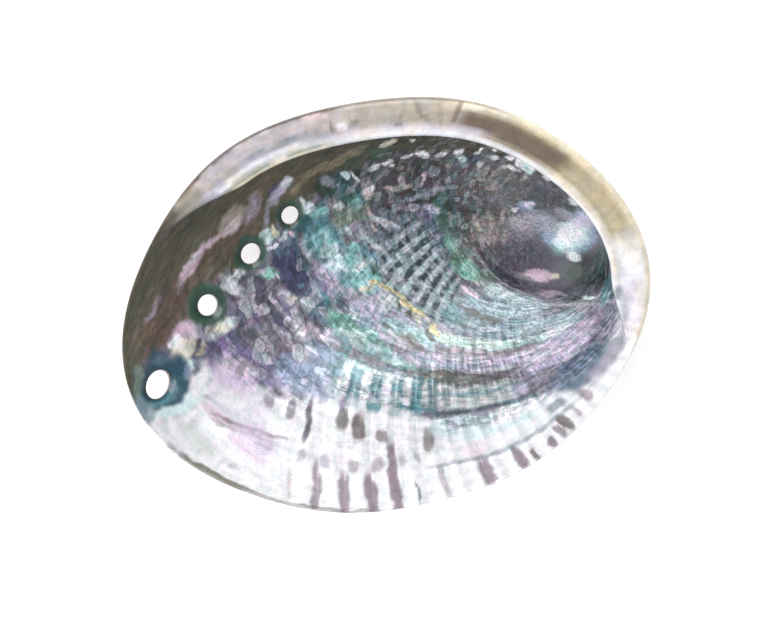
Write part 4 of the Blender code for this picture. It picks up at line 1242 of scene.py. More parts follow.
WALL_DABS = dabs(
    # left wall: streaks; the red-olive and brown are painted shade, the pink, lilac-white and white streaks
    # painted highlight
    (Tone.RED_OLIVE, -56.5, 4, 5, 3, 60, 0.6), (Tone.BROWN, -65, -8.2, 5, 1.6, 55, 0.5),
    (Tone.PINK, -51.5, 10.8, 6.4, 1.5, 56, 0.95), (Tone.LILAC_WHITE, -50.6, 12.6, 2.6, 0.7, 56, 0.7),
    (Tone.GREY_MAUVE, -54.6, 5, 1.8, 0.6, 80, 0.8), (Tone.PINK, -40.9, 20.9, 3.4, 1.5, 50, 0.95),
    (Tone.LILAC_WHITE, -40, 22.2, 1.8, 0.7, 50, 0.7), (Tone.PINK, -45.9, 16.9, 3, 0.9, 48, 0.8),
    (Tone.DARK, -43.3, 19.3, 1.6, 0.4, 45, 0.8), (Tone.GREY_MAUVE, -35.4, 26.4, 5, 1.7, 66, 0.9),
    (Tone.LILAC_GREY, -35.8, 25.4, 3, 0.8, 66, 0.8), (Tone.BROWN, -32.7, 31.4, 3, 0.8, 62, 0.7),
    (Tone.LILAC, -28.2, 30.4, 4.6, 1.5, 56, 0.9), (Tone.INDIGO, -29.6, 31.2, 2.4, 0.7, 56, 0.9),
    (Tone.WHITE, -26.7, 33, 1.8, 0.9, 60, 0.7), (Tone.TAN, -14.8, 37.5, 8, 1.1, 22, 0.8),
    (Tone.TAN, -9, 40.7, 4.5, 0.9, 22, 0.8), (Tone.CREAM, 0.5, 43.3, 2.5, 0.6, 20, 0.8),
    (Tone.TAN, -22.7, 32.5, 4, 0.8, 55, 0.6), (Tone.GREY_MAUVE, -61.5, -1.1, 3.4, 0.8, 58, 0.8),
    (Tone.TAN_PINK, -41.2, 22.4, 5, 2.4, 50, 0.6), (Tone.RED_OLIVE, -48, 12.5, 9, 2.6, 52, 0.6),
    # between the last two open holes
    (Tone.PINK, -53.3, -7.7, 3.5, 3, 50, 0.8), (Tone.CREAM, -54.2, -12.4, 4.4, 2.6, 62, 0.95),
    (Tone.WHITE, -56, -9.8, 2.4, 1.4, 55, 0.95), (Tone.CYAN_WHITE, -52.8, -16.4, 2.2, 1.6, 50, 0.95),
    (Tone.CREAM_YELLOW, -49.1, -11.9, 2.4, 0.8, 60, 0.5), (Tone.DARK, -49.9, -9.2, 1.8, 0.35, 70, 0.85),
    # inland of the third hole
    (Tone.VIOLET, -43.3, -10.6, 3, 1.4, 0, 0.85), (Tone.VIOLET, -45.4, -13.4, 2.6, 1.6, 40, 0.5),
    (Tone.WHITE, -41.9, -4.8, 2.8, 1.5, 24, 0.95, 0.9), (Tone.SNOW, -45.4, -7.6, 3, 1.5, 34, 0.85, 0.9),
    (Tone.CYAN_WHITE, -43.6, -6.4, 1.6, 0.8, -20, 0.7, 0.9),
    (Tone.LILAC_WHITE, -39.6, -17.2, 5, 3.4, 0, 0.95), (Tone.LILAC_GREY, -38, -16, 1.4, 1.4, 0, 0.5),
    (Tone.LILAC_GREY, -41.5, -17, 1.4, 1.2, 0, 0.5),
    # between the second and third
    (Tone.WHITE, -42.2, 5.5, 2.6, 1.4, 30, 0.95), (Tone.SNOW, -39.6, 7.7, 2.2, 1.2, 50, 0.9),
    (Tone.WHITE, -41.2, 3.7, 1.6, 0.8, 0, 0.9), (Tone.MINT, -31.2, 8.5, 2.2, 1.6, 0, 0.95),
    # between the first and second
    (Tone.LILAC_GREY, -31.7, 23.8, 3, 0.8, 75, 0.8), (Tone.CYAN_WHITE, -31.9, 18.2, 2, 1.6, 70, 0.95),
    (Tone.CREAM, -29.8, 19.5, 1.8, 0.7, 110, 0.9), (Tone.WHITE, -30.1, 15.3, 1.8, 0.7, 25, 0.95),
    (Tone.SNOW, -27.5, 18.2, 1.6, 0.5, 60, 0.9),
    # towards the closed holes
    (Tone.DEEP_TEAL, -22.7, 21.9, 3.2, 2.4, 30, 0.95), (Tone.CYAN_WHITE, -20.6, 25.9, 1.8, 1.5, 0, 1),
    (Tone.SNOW, -21.9, 27.9, 1.5, 0.7, 110, 0.9), (Tone.AQUA, -17.4, 24.5, 2.2, 1, 20, 0.9),
    (Tone.PINK, -25.1, 18.7, 1.3, 0.6, 150, 0.9), (Tone.DARK_GREEN, -15.6, 31.6, 4, 3.4, 0, 0.9),
    (Tone.LILAC_GREY, -15.8, 32.9, 1.6, 1.3, 0, 0.8, 0.9),
    (Tone.DEEP_TEAL, -11.6, 33.5, 3.2, 2.6, 0, 0.95), (Tone.DEEP_TEAL, -10.8, 29.6, 3, 2.6, 0, 0.8),
    (Tone.CYAN_WHITE, -10.8, 34.6, 1.4, 1.2, 0, 1, 0.3), (Tone.WHITE, -7.9, 34, 1.6, 0.45, 130, 0.95, 0.3),
    (Tone.GREEN, -7.9, 28.5, 1.6, 2.2, 0, 0.9), (Tone.DARK_GREEN, -5.4, 35.1, 2.8, 2, 0, 0.95),
    (Tone.GREEN, -1.6, 40.4, 3.2, 1.5, 15, 0.9), (Tone.SNOW, -2.9, 37, 1.8, 0.7, 20, 0.85),
    (Tone.WHITE, 0.3, 38.3, 1.4, 0.5, 20, 0.95, 0.3), (Tone.WHITE, 1.3, 37.4, 0.7, 0.5, 0, 0.9, 0.3),
    (Tone.TAN_PINK, -4.8, 30.4, 1.4, 2.1, -20, 0.9), (Tone.PURPLE_GREY, 6.6, 30.4, 9, 4.6, 8, 0.95),
    (Tone.OLIVE, 4, 36.4, 2.4, 1.8, 0, 0.9), (Tone.DARK, 7.9, 36, 2.4, 2, 0, 0.85),
    (Tone.SNOW, 5.8, 39.6, 2, 0.5, 10, 0.95, 0.3), (Tone.WHITE, 9.8, 39.9, 1.7, 1, -10, 0.95, 0.3),
    (Tone.WHITE, 6.6, 43.8, 0.9, 0.3, 0, 0.9, 0.3), (Tone.PINK, 4.5, 33.5, 0.9, 1.4, 0, 0.9, 0.3),
    (Tone.PINK, 10, 34, 0.7, 1.5, -20, 0.95, 0.3), (Tone.LILAC_GREY, 12.4, 35.9, 1.7, 1.5, 0, 0.9),
    (Tone.OLIVE, 15, 38, 2.4, 1.1, 0, 0.9), (Tone.SNOW, 14.5, 40.1, 1.7, 0.5, 20, 0.95, 0.3),
    (Tone.WHITE, 19.3, 41, 1.4, 1, 0, 0.95, 0.3), (Tone.CYAN_WHITE, 20, 38.8, 1.1, 1.1, 0, 0.9, 0.3),
    (Tone.LILAC_GREY, 21, 37.2, 1.4, 0.9, -20, 0.9), (Tone.INDIGO, 23.8, 38.8, 1.9, 1.3, 0, 0.9),
    (Tone.WHITE, 25, 41, 1.4, 0.5, 15, 0.95, 0.3), (Tone.WHITE, 28.8, 41, 0.6, 0.5, 40, 0.95, 0.3),
    (Tone.WHITE, 28.8, 39.2, 1.3, 0.6, -10, 0.95, 0.3), (Tone.SNOW, 33, 39.2, 1.4, 0.5, 0, 0.95, 0.3),
    # the white, cyan-white and snow flecks round (36, 37) are painted glints
    (Tone.DARK, 36.5, 39.6, 1, 0.7, -30, 0.8), (Tone.WHITE, 36.4, 37.7, 1.8, 1.5, -30, 1, 0.3),
    (Tone.CYAN_WHITE, 38.3, 36.2, 1.7, 1.4, -40, 1, 0.3), (Tone.SNOW, 34.4, 36.6, 1.8, 0.5, -20, 0.9, 0.3),
    (Tone.DEEP_TEAL, 40, 37, 1.2, 0.6, 60, 0.9), (Tone.AQUA, 41.3, 36, 1.4, 0.5, -30, 0.9),
    (Tone.SNOW, 43.2, 34.4, 1.5, 0.6, -35, 0.9),
)

BOWL_DABS = dabs(
    (Tone.TEAL, -14.6, -17.6, 3.4, 2, -10, 0.7), (Tone.DEEP_TEAL, -10.6, -10.6, 1.6, 2.4, -20, 0.8),
    (Tone.DEEP_TEAL, -17.6, -1, 2.6, 1, -60, 0.8), (Tone.TEAL, -16.4, 1.4, 2.4, 1.2, -50, 0.8),
    (Tone.TEAL, 1.4, -13.6, 3.4, 1, -18, 0.7), (Tone.DEEP_TEAL, -4.4, -13.4, 3, 0.8, -22, 0.7),
    (Tone.OLIVE_GREY, 6.4, -9.6, 4, 1.4, -30, 0.6), (Tone.DARK, 0.4, -5.6, 3, 0.6, -35, 0.8),
    (Tone.DARK, 5.4, -9, 3.2, 0.6, -38, 0.8), (Tone.DARK, 10.4, -12.4, 3, 0.6, -26, 0.8),
    (Tone.WHITE, 2, -7.4, 1.8, 0.6, -35, 0.7), (Tone.WHITE, -8.8, -2.6, 2.2, 0.6, -42, 0.75),
    (Tone.LILAC, -6, -0.4, 2.6, 1.4, -38, 0.8), (Tone.DARK, -9.8, -4.4, 2.4, 0.5, -40, 0.4),
    (Tone.WHITE, -19.8, 12, 3.4, 0.5, -48, 0.7), (Tone.DARK, -20.6, 10.6, 3, 0.5, -48, 0.6),
    (Tone.INDIGO, -24.4, 6.4, 3, 2.4, -60, 0.8), (Tone.TEAL, -21, 1.6, 2, 1.2, -50, 0.7),
    (Tone.MAUVE, -31, -1.4, 4.6, 1.4, -52, 0.8), (Tone.LILAC_WHITE, -29.4, 0.2, 4, 0.5, -50, 0.8),
    (Tone.DARK, -31.6, 1.2, 3, 0.5, -55, 0.6), (Tone.VIOLET, -34.6, -4.6, 3.4, 1.2, -55, 0.7),
    (Tone.OLIVE_GREY, -30.4, -6.8, 2.8, 1.4, -30, 0.4), (Tone.LILAC_WHITE, -26.4, -9, 2.4, 1, -40, 0.75),
    (Tone.DARK, -27, -5.4, 2.6, 0.5, -30, 0.6), (Tone.CREAM, -25.4, 1.6, 1.8, 1.4, 0, 0.75),
    (Tone.LILAC_WHITE, -18.4, -8.4, 2, 1.2, -20, 0.7), (Tone.SLATE_BLUE, -24.6, -15.6, 5, 2.6, -18, 0.75),
    (Tone.SLATE_BLUE, -18, -18.4, 3.6, 2.4, -14, 0.7), (Tone.TEAL_GREY, 24.6, -2.4, 6, 3, -18, 0.8, 0.9),
    (Tone.DARK, 23, -1.4, 4.6, 0.7, -22, 0.85, 0.9), (Tone.DARK, 27, -3.6, 4.6, 0.7, -12, 0.85, 0.9),
    (Tone.PALE_AQUA, 35.4, -1.6, 6.5, 2, -2, 0.75, 0.9),
    (Tone.LILAC_WHITE, 24.8, -13, 5, 1.2, -4, 0.3, 0.9), (Tone.SLATE, -6.6, 19.6, 3, 1.4, -30, 0.6, 0.9),
    (Tone.TAN_PINK, 3.4, 31.6, 4.2, 0.7, 6, 0.75), (Tone.LILAC_GREY, 8.4, 29, 5.2, 0.7, 10, 0.7),
    (Tone.DARK, 5.4, 30.3, 5.4, 0.6, 8, 0.85), (Tone.DARK, 9.6, 27.7, 5.6, 0.6, 12, 0.8),
    (Tone.LILAC_GREY, 13.6, 31, 4.6, 0.6, 4, 0.6), (Tone.DARK, 14.6, 29.6, 5, 0.6, 6, 0.8),
    (Tone.TEAL, -6.8, 29.6, 1.8, 2.4, 0, 0.85), (Tone.AQUA, -7.8, 27.4, 1.2, 1.4, 0, 0.7),
    (Tone.SNOW, -4.6, 30.7, 1.6, 0.8, 20, 0.75), (Tone.DARK, 1.6, 25.6, 4.6, 0.6, -20, 0.75),
    (Tone.PALE, -1, 22.6, 4.4, 0.8, -24, 0.75), (Tone.DARK, -1.8, 20.8, 4.2, 0.6, -26, 0.75),
    (Tone.PALE, -3.6, 16.4, 4.4, 0.8, -34, 0.7), (Tone.SLATE, -5.4, 14.4, 4.2, 0.7, -36, 0.75),
    (Tone.AQUA, -8.4, 15.6, 1.6, 1, -30, 0.8), (Tone.CYAN_WHITE, -10.4, 20.2, 1.5, 0.9, -20, 0.7),
    (Tone.SNOW, -12.4, 26.2, 1.6, 0.8, 0, 0.7), (Tone.TEAL, -3, 12, 3, 1, -40, 0.6),
    (Tone.GREEN, -2.4, 9.2, 2, 1, -30, 0.5), (Tone.PINK, 6.6, 26.1, 1.8, 1, 0, 0.95),
    (Tone.VIOLET, 10, 24.6, 2.8, 1.6, -30, 0.85), (Tone.LILAC, 12.4, 25.6, 2, 1, -30, 0.8),
    (Tone.GREEN, 14.3, 27.2, 2.6, 2.8, 0, 0.95), (Tone.DARK_GREEN, 16.6, 25.4, 2.2, 1.6, 30, 0.9),
    (Tone.GREEN, 19, 20.5, 2.2, 3.4, 20, 0.55), (Tone.BROWN, 22.7, 31.4, 5.5, 2.2, 5, 0.6),
    (Tone.TEAL, -16.1, 16.6, 5.8, 4.8, 0, 0.85), (Tone.AQUA, -17, 17.4, 3.6, 2.6, -30, 0.75, 0.9),
    (Tone.CYAN_WHITE, -15.3, 14.5, 2.4, 2.2, 0, 0.9), (Tone.CYAN_WHITE, -12.2, 11.4, 3.2, 1.4, -40, 0.85),
    (Tone.GREEN_GREY, -10.8, 23.8, 4, 2.4, 20, 0.8), (Tone.GREY_MAUVE, -8.2, 19.3, 4, 2.8, 30, 0.8),
    (Tone.SNOW, -6.9, 10.6, 2.6, 1.4, 30, 0.85), (Tone.LILAC, -15.3, 7.9, 5.2, 1.1, -45, 0.9),
    (Tone.INDIGO, -21, 9, 4, 2.2, -60, 0.6), (Tone.MINT, -12.9, -4.5, 2.8, 1.8, -30, 0.9),
    (Tone.MINT, -5.5, -7.9, 3.4, 1.8, -25, 0.9), (Tone.LILAC, -2.9, -1.8, 3, 1.9, -30, 0.9),
    (Tone.SLATE, -4.6, -4.6, 2.6, 1.1, -30, 0.8), (Tone.PALE, 0.8, 1, 2.6, 2, -30, 0.8),
    (Tone.CREAM, -4.6, 4.6, 2.2, 1, 15, 0.8), (Tone.CREAM_YELLOW, -2.9, 6.3, 1.5, 0.8, 0, 0.95),
    (Tone.CREAM_YELLOW, 0.8, 4.6, 3, 0.7, -30, 0.95), (Tone.CREAM_YELLOW, 5, 1.3, 3.2, 0.8, -42, 0.95),
    (Tone.CREAM_YELLOW, 9, -2.1, 2.8, 0.6, -38, 0.9), (Tone.CREAM_YELLOW, 12.7, -6.1, 2.6, 0.6, -50, 0.9),
    (Tone.OLIVE, 3.4, 0.2, 1.5, 0.8, -60, 0.95, 0.3), (Tone.OLIVE, 6.5, -2.2, 1.4, 0.9, -60, 0.95, 0.3),
    (Tone.CREAM, 8.6, -4, 1.3, 0.9, -60, 0.9, 0.3), (Tone.OLIVE, 11.9, -7.7, 1.8, 0.7, -65, 0.95, 0.3),
    (Tone.PINK, 22.8, 3.3, 2.8, 0.6, -35, 0.9), (Tone.GREEN, 26, 8.2, 4.6, 2, -25, 0.6),
    (Tone.MINT, 22.5, 10.5, 2.4, 1.6, -40, 0.7), (Tone.DARK_GREEN, 31, 3.6, 1.2, 0.4, 40, 0.8),
    (Tone.LILAC_PINK, -41.2, -18.5, 6.4, 3.4, -22, 0.95, 0.9),
    (Tone.SNOW, -40.8, -25.4, 6, 2.6, -18, 0.7, 0.9), (Tone.PINK, -42.3, -16.6, 1.8, 1.5, 0, 0.8, 0.8),
    (Tone.PINK, -38.3, -18, 1.8, 1.4, 0, 0.8, 0.8), (Tone.VIOLET, -43.6, -10.4, 3.6, 1.9, -10, 0.85, 0.6),
    (Tone.CREAM, -44.2, -5.8, 3.4, 1.6, 25, 0.85, 0.6), (Tone.SNOW, -41.4, -4.4, 2, 1.4, 20, 0.85, 0.6),
    (Tone.CREAM, -54.2, -11.4, 2, 2.2, 0, 0.8, 0.8), (Tone.WHITE, -56, -10.4, 1.6, 1.8, -30, 0.8, 0.8),
    (Tone.SNOW, -53.6, -11.6, 2.2, 1.8, 0, 0.45, 0.9), (Tone.MINT, -10.8, -4, 2.4, 1.6, -30, 0.5, 0.9),
    (Tone.DARK, -51, -10.8, 2.8, 0.5, 66, 0.85), (Tone.CYAN_WHITE, -53.2, -15.9, 2.4, 1.1, -50, 0.9, 0.7),
    (Tone.SNOW, -41.2, 5.3, 3.8, 1.2, -45, 0.9, 0.6), (Tone.DARK, -42.6, 4, 3.6, 0.5, -45, 0.7),
    (Tone.DARK, -39.4, 6.6, 3.6, 0.5, -45, 0.7), (Tone.GREEN, 15.6, 22.5, 2.4, 3.4, 10, 0.75, 0.8),
    (Tone.GREEN, 19.4, 12.8, 3.4, 2.6, -50, 0.65, 0.8), (Tone.MINT, 17.4, 16.6, 2.4, 1.6, -50, 0.6, 0.8),
    (Tone.MINT, 22.4, 8.8, 3, 1.2, -40, 0.7, 0.8), (Tone.SLATE, -6.9, 19.8, 3.4, 2.2, 30, 0.45, 0.9),
    (Tone.LILAC_GREY, -30.6, -6.6, 4.4, 3, -40, 0.4, 0.9),
)

PAINTED_SHADE = dabs(
    # painted shade over the upper wall and the chamber, where the fill light falls: middle, half sizes,
    # turn, how much darker
    (Tone.DARK, 24, 34, 48, 14, -8, 0.44, 0.8), (Tone.DARK, 42, 20, 24, 20, -20, 0.32, 0.5),
)

RING_WIDTHS = (2.6, 1.6, 1.3)

LENS_DABS = dabs(
    (Tone.LENS_BLUE, -59.2, -20.4, 8.2, 6.8, 62, 1, 0.4), (Tone.SLATE, -57.8, -14.8, 4, 1.5, 10, 0.5),
    (Tone.GREEN_GREY, -65.3, -20.5, 1.6, 4.5, 0, 0.8), (Tone.DEEP_TEAL, -54.8, -22.6, 3.2, 4.2, -20, 1),
    (Tone.TEAL, -59.6, -25.2, 3.8, 1.8, 20, 0.9), (Tone.DEEP_TEAL, -62.6, -22.6, 2, 2.6, 0, 0.6),
    (Tone.LENS_BLUE, -56.4, -17, 3.4, 2.4, 30, 0.9), (Tone.LENS_BLUE, -54.9, -23, 2.6, 3.4, -20, 0.6, 0.8),
    (Tone.TEAL_GREY, -64, -27, 2.6, 2.4, -40, 0.8), (Tone.SLATE_BLUE, -52.8, -17.6, 1.2, 2, -10, 0.5),
    (Tone.SNOW, -58.6, -33.4, 6.5, 3, -42, 0.95, 0.8), (Tone.TEAL_GREY, -63.4, -29, 2.6, 1.8, -50, 0.7, 1),
    (Tone.PALE, -52.8, -33, 2, 1.6, 0, 0.7, 1), (Tone.CYAN_WHITE, -56.8, -28.2, 4.4, 1.3, 18, 0.95, 0.9),
    (Tone.CYAN_WHITE, -51.6, -25.4, 4, 1.8, 48, 0.95, 0.9),
    (Tone.WHITE, -49.4, -20.4, 1.8, 4.4, -20, 0.95, 0.9),
)

CHAMBER_DABS_WITH_PAINTED_LIGHT = dabs(
    # the chamber: its own brown, pink and cream under painted shade and painted reflection in dark, indigo
    # and slate, with white and snow spots as painted glints
    (Tone.BROWN, 31, 32.4, 6, 3, -10, 0.9, 0.9), (Tone.BROWN_GREY, 30.5, 33.5, 9, 4, -12, 0.9),
    (Tone.DARK, 36, 31, 7, 2.6, -20, 0.7), (Tone.INDIGO, 42.5, 27.5, 6.5, 3.5, -25, 0.8),
    (Tone.DARK, 48.5, 25.5, 5, 2.4, -35, 0.8), (Tone.VIOLET, 39.5, 25, 5.5, 2.6, -10, 0.7),
    (Tone.GREY_MAUVE, 37, 21, 3.8, 3, 0, 0.8), (Tone.SLATE, 44.5, 20.5, 5, 4, 20, 0.7),
    (Tone.SLATE_BLUE, 52.5, 20, 5.5, 4.5, 60, 0.8), (Tone.PURPLE_GREY, 36, 12, 11, 4.5, 8, 0.9),
    (Tone.BROWN_GREY, 27, 14, 5, 3, 30, 0.7), (Tone.DARK, 54.5, 9, 5, 6, 80, 0.85),
    (Tone.DARK_GREEN, 57.5, 11, 5.5, 2, 80, 0.7), (Tone.GREEN_GREY, 50, 9, 2.6, 3, 80, 0.6),
    # painted highlight: aqua, cyan-white and white at about (49, 19)
    (Tone.AQUA, 49, 17.6, 5, 3.8, 10, 0.9, 1), (Tone.CYAN_WHITE, 49.2, 18.4, 4.8, 3.6, 20, 1, 0.8),
    (Tone.WHITE, 49.6, 19.6, 4, 2.7, 20, 1, 0.8), (Tone.LILAC, 53, 21.8, 2.6, 1.8, 0, 0.8),
    (Tone.MAUVE, 34, 17, 4, 3, 0, 0.7, 1), (Tone.TAN_PINK, 36.4, 22, 2.6, 1.8, -10, 0.6, 1),
    (Tone.DARK, 40.7, 28.2, 5, 2.4, -22, 0.85, 0.9), (Tone.LILAC_GREY, 42, 22, 5, 2.6, -20, 0.85, 0.9),
    (Tone.SLATE_BLUE, 44.5, 17.5, 2.6, 1.6, -30, 0.8, 0.9),
    (Tone.SLATE_BLUE, 38, 26.4, 2.6, 1.2, -10, 0.8), (Tone.LILAC_GREY, 36.5, 21.5, 2.4, 1.4, 0, 0.6),
    (Tone.LILAC_GREY, 47.5, 24.4, 3, 1.2, -40, 0.6), (Tone.CYAN_WHITE, 46.5, 16.5, 2.4, 1.2, -30, 0.7),
    (Tone.WHITE, 50.2, 12.9, 2, 1.1, -20, 0.95), (Tone.SNOW, 50, 27.4, 1.6, 0.9, -40, 0.95),
    (Tone.WHITE, 43.1, 34.3, 1.4, 0.7, -35, 0.95), (Tone.SNOW, 34.4, 25.4, 0.9, 0.6, 0, 0.9),
    (Tone.LILAC, 38.3, 26.7, 1.4, 0.9, 0, 0.8), (Tone.LILAC, 53.6, 23.5, 1.5, 0.8, -30, 0.8),
    (Tone.PINK, 41.5, 7.9, 4.4, 1.3, -4, 0.85), (Tone.CREAM, 45.3, 7.4, 1, 0.9, 0, 0.8),
    (Tone.PINK, 44.5, 3, 4.5, 0.7, -6, 0.8), (Tone.DARK, 50, 1.6, 5, 0.6, -4, 0.9),
    (Tone.WHITE, 53.8, 2.2, 1.5, 0.5, 0, 0.9), (Tone.TEAL, 59, 4.5, 5, 1.3, 65, 0.9),
    (Tone.DEEP_TEAL, 60, 3, 4, 0.8, 70, 0.8), (Tone.TAN_PINK, 31.6, 23.6, 0.6, 2.4, 4, 0.55, 1),
    (Tone.TAN_PINK, 28, 22.8, 0.6, 2.6, 10, 0.5, 1), (Tone.TAN_PINK, 32, 18.6, 0.6, 2.2, 0, 0.5, 1),
    (Tone.CREAM, 25, 20.5, 0.6, 2.6, 20, 0.45, 1), (Tone.GREY_MAUVE, 27, 20, 4, 3, 20, 0.7),
    (Tone.TAN_PINK, 26.8, 19.8, 4.6, 3.6, -10, 0.32, 1), (Tone.LILAC_GREY, 35.6, 20.6, 4, 3.4, 0, 0.4, 1),
    (Tone.SNOW, 50.5, 28.5, 2.4, 1, -35, 0.7),
)

ACCENTS = patches(
    (Tone.LILAC, 300, -0.12, 90, 0.14, 1, 0.6), (Tone.INDIGO, 240, -0.32, 22, 0.12, 1, 0.6),
    (Tone.BROWN, 172, -0.3, 36, 0.6, 1, 0.3), (Tone.VIOLET, 355, -0.38, 34, 0.14, 1, 0.6),
    (Tone.SLATE, 345, -1, 36, 0.22, 0.9, 0.6), (Tone.GREEN, 220, -0.85, 14, 0.22, 0.8, 0.8),
)

TRAITS = (
    # travel, growth, half length, half width, then mosaic, dark lines and streaks there
    (300, -0.08, 95, 0.12, 0.00, 0.06, 0.22),
    (284, -0.19, 24, 0.09, 0.05, 0.10, 0.30),
    (172, -0.30, 38, 0.64, 0.04, 0.05, 0.60),
    (150, -1.00, 62, 0.35, 0.15, 0.10, 1.00),
    (244, -0.35, 22, 0.11, 0.75, 0.35, 1.00),
    (281, -0.45, 24, 0.07, 0.55, 0.60, 1.00),
    (330, -0.76, 34, 0.16, 0.12, 1.00, 1.00),
    (352, -0.46, 34, 0.10, 0.15, 0.85, 0.80),
    (325, -0.30, 26, 0.06, 0.15, 0.50, 0.70),
)

PLATE_DABS = dabs(
    (Tone.SLATE, 61.3, 3.4, 1.8, 1.2, 80, 0.75, 1), (Tone.LILAC, 64.6, 3.6, 3, 1.8, 80, 0.75, 1),
    (Tone.LILAC_GREY, 62.6, -3.6, 5, 1.8, 80, 0.65, 1), (Tone.LILAC_GREY, 62.4, -8.4, 4, 2.6, 60, 0.85, 1),
    (Tone.LILAC_WHITE, 65.5, -4, 5, 1.8, 78, 0.7, 1), (Tone.EDGE_BROWN, -56.5, 24, 4.4, 1.5, 45, 0.75),
    (Tone.PLATE_DULL, -51.8, 26.9, 4.4, 2.6, 40, 0.95), (Tone.TAN, -51.8, 26.9, 3.8, 2.4, 40, 0.4, 1),
    (Tone.BROWN, -53, 29.5, 4, 0.9, 48, 0.45), (Tone.SLATE, -47.5, 27.6, 3.4, 0.9, 30, 0.35),
    (Tone.PINK, -19.2, 49.5, 3.6, 0.9, 12, 0.6), (Tone.BROWN, -14.4, 46.8, 0.5, 1.5, 10, 0.6),
    (Tone.SNOW, -11.6, 46.9, 1.8, 1, 5, 0.9), (Tone.PINK, -11.4, 46.4, 1.3, 0.5, 5, 0.6),
    (Tone.EDGE_BROWN, -8.2, 48.1, 1.6, 0.5, -20, 0.45), (Tone.BROWN, 3.2, 49.1, 1.2, 0.4, 20, 0.5),
    (Tone.EDGE_BROWN, 2.9, 47.6, 1.6, 0.4, -10, 0.5), (Tone.EDGE_BROWN, 8.6, 51.6, 2.4, 0.7, -70, 0.45, 1),
    (Tone.EDGE_BROWN, 10.6, 49.2, 1.8, 0.7, -35, 0.45, 1), (Tone.BROWN, 14.4, 50.4, 3, 0.7, -84, 0.3, 1),
    (Tone.BROWN, -30, 46, 3.5, 0.5, 24, 0.4), (Tone.SNOW, -36, 36.6, 3.6, 0.6, 30, 0.9),
)

PLATE_BANDS = bands(
    # the lilac band from 5.8 to 9.2 mm in is the plate's silver band, painted reflection; the white band
    # within it is a painted highlight
    (Tone.PLATE_LILAC, (106, 158), (0.6, 5.4), 0.8), (Tone.LILAC, (104, 150), (5.8, 9.2), 0.85, 0.5),
    (Tone.SLATE, (104, 128), (5.7, 6.8), 0.5, 0.5), (Tone.PLATE_DULL, (106, 146), (5.4, 9.2), 0.55, 0.6),
    (Tone.WHITE, (124, 146), (7, 7.8), 0.6, 0.5), (Tone.PLATE_DULL, (106, 150), (8.3, 9.6), 0.8, 0.4),
    (Tone.SLATE, (106, 140), (5.3, 5.55), 0.7, 0.3), (Tone.GREEN_GREY, (112, 146), (8.9, 9.3), 0.7, 0.3),
    # along the inner edge the cream bands are the edge's own colour
    (Tone.PLATE_CREAM, (95, 166), (9.6, 11), 0.8, 0.3),
    (Tone.PLATE_CREAM, (-14, 66), (-1, 2.2), 0.95, 1.2),
    (Tone.PLATE_KHAKI, (6, 58), (2.4, 8.4), 0.95, 1.4),
    (Tone.PLATE_BROWN, (38, 62), (3.6, 7.4), 0.95, 1.8),
    (Tone.BROWN, (67.2, 68.2), (0.8, 7.8), 0.7, 0.6, 0.5),
    # the snow bands from 8.6 and 9 mm in are painted highlight where light catches the inner edge
    (Tone.PLATE_LILAC, (60, 106), (7.2, 11), 0.9, 0.8), (Tone.SNOW, (30, 106), (9, 11), 0.9, 0.5),
    (Tone.SNOW, (-10, 34), (8.6, 11), 0.9, 0.6), (Tone.PLATE_CREAM, (4, 30), (8.2, 9.4), 0.7, 0.6),
    (Tone.SNOW, (-24, 8), (2, 8), 0.9, 1.4, 6), (Tone.EDGE_BROWN, (108, 154), (-1, 0.75), 0.9, 0.4),
    (Tone.BROWN, (60, 112), (-1, 0.55), 0.6, 0.4),
)


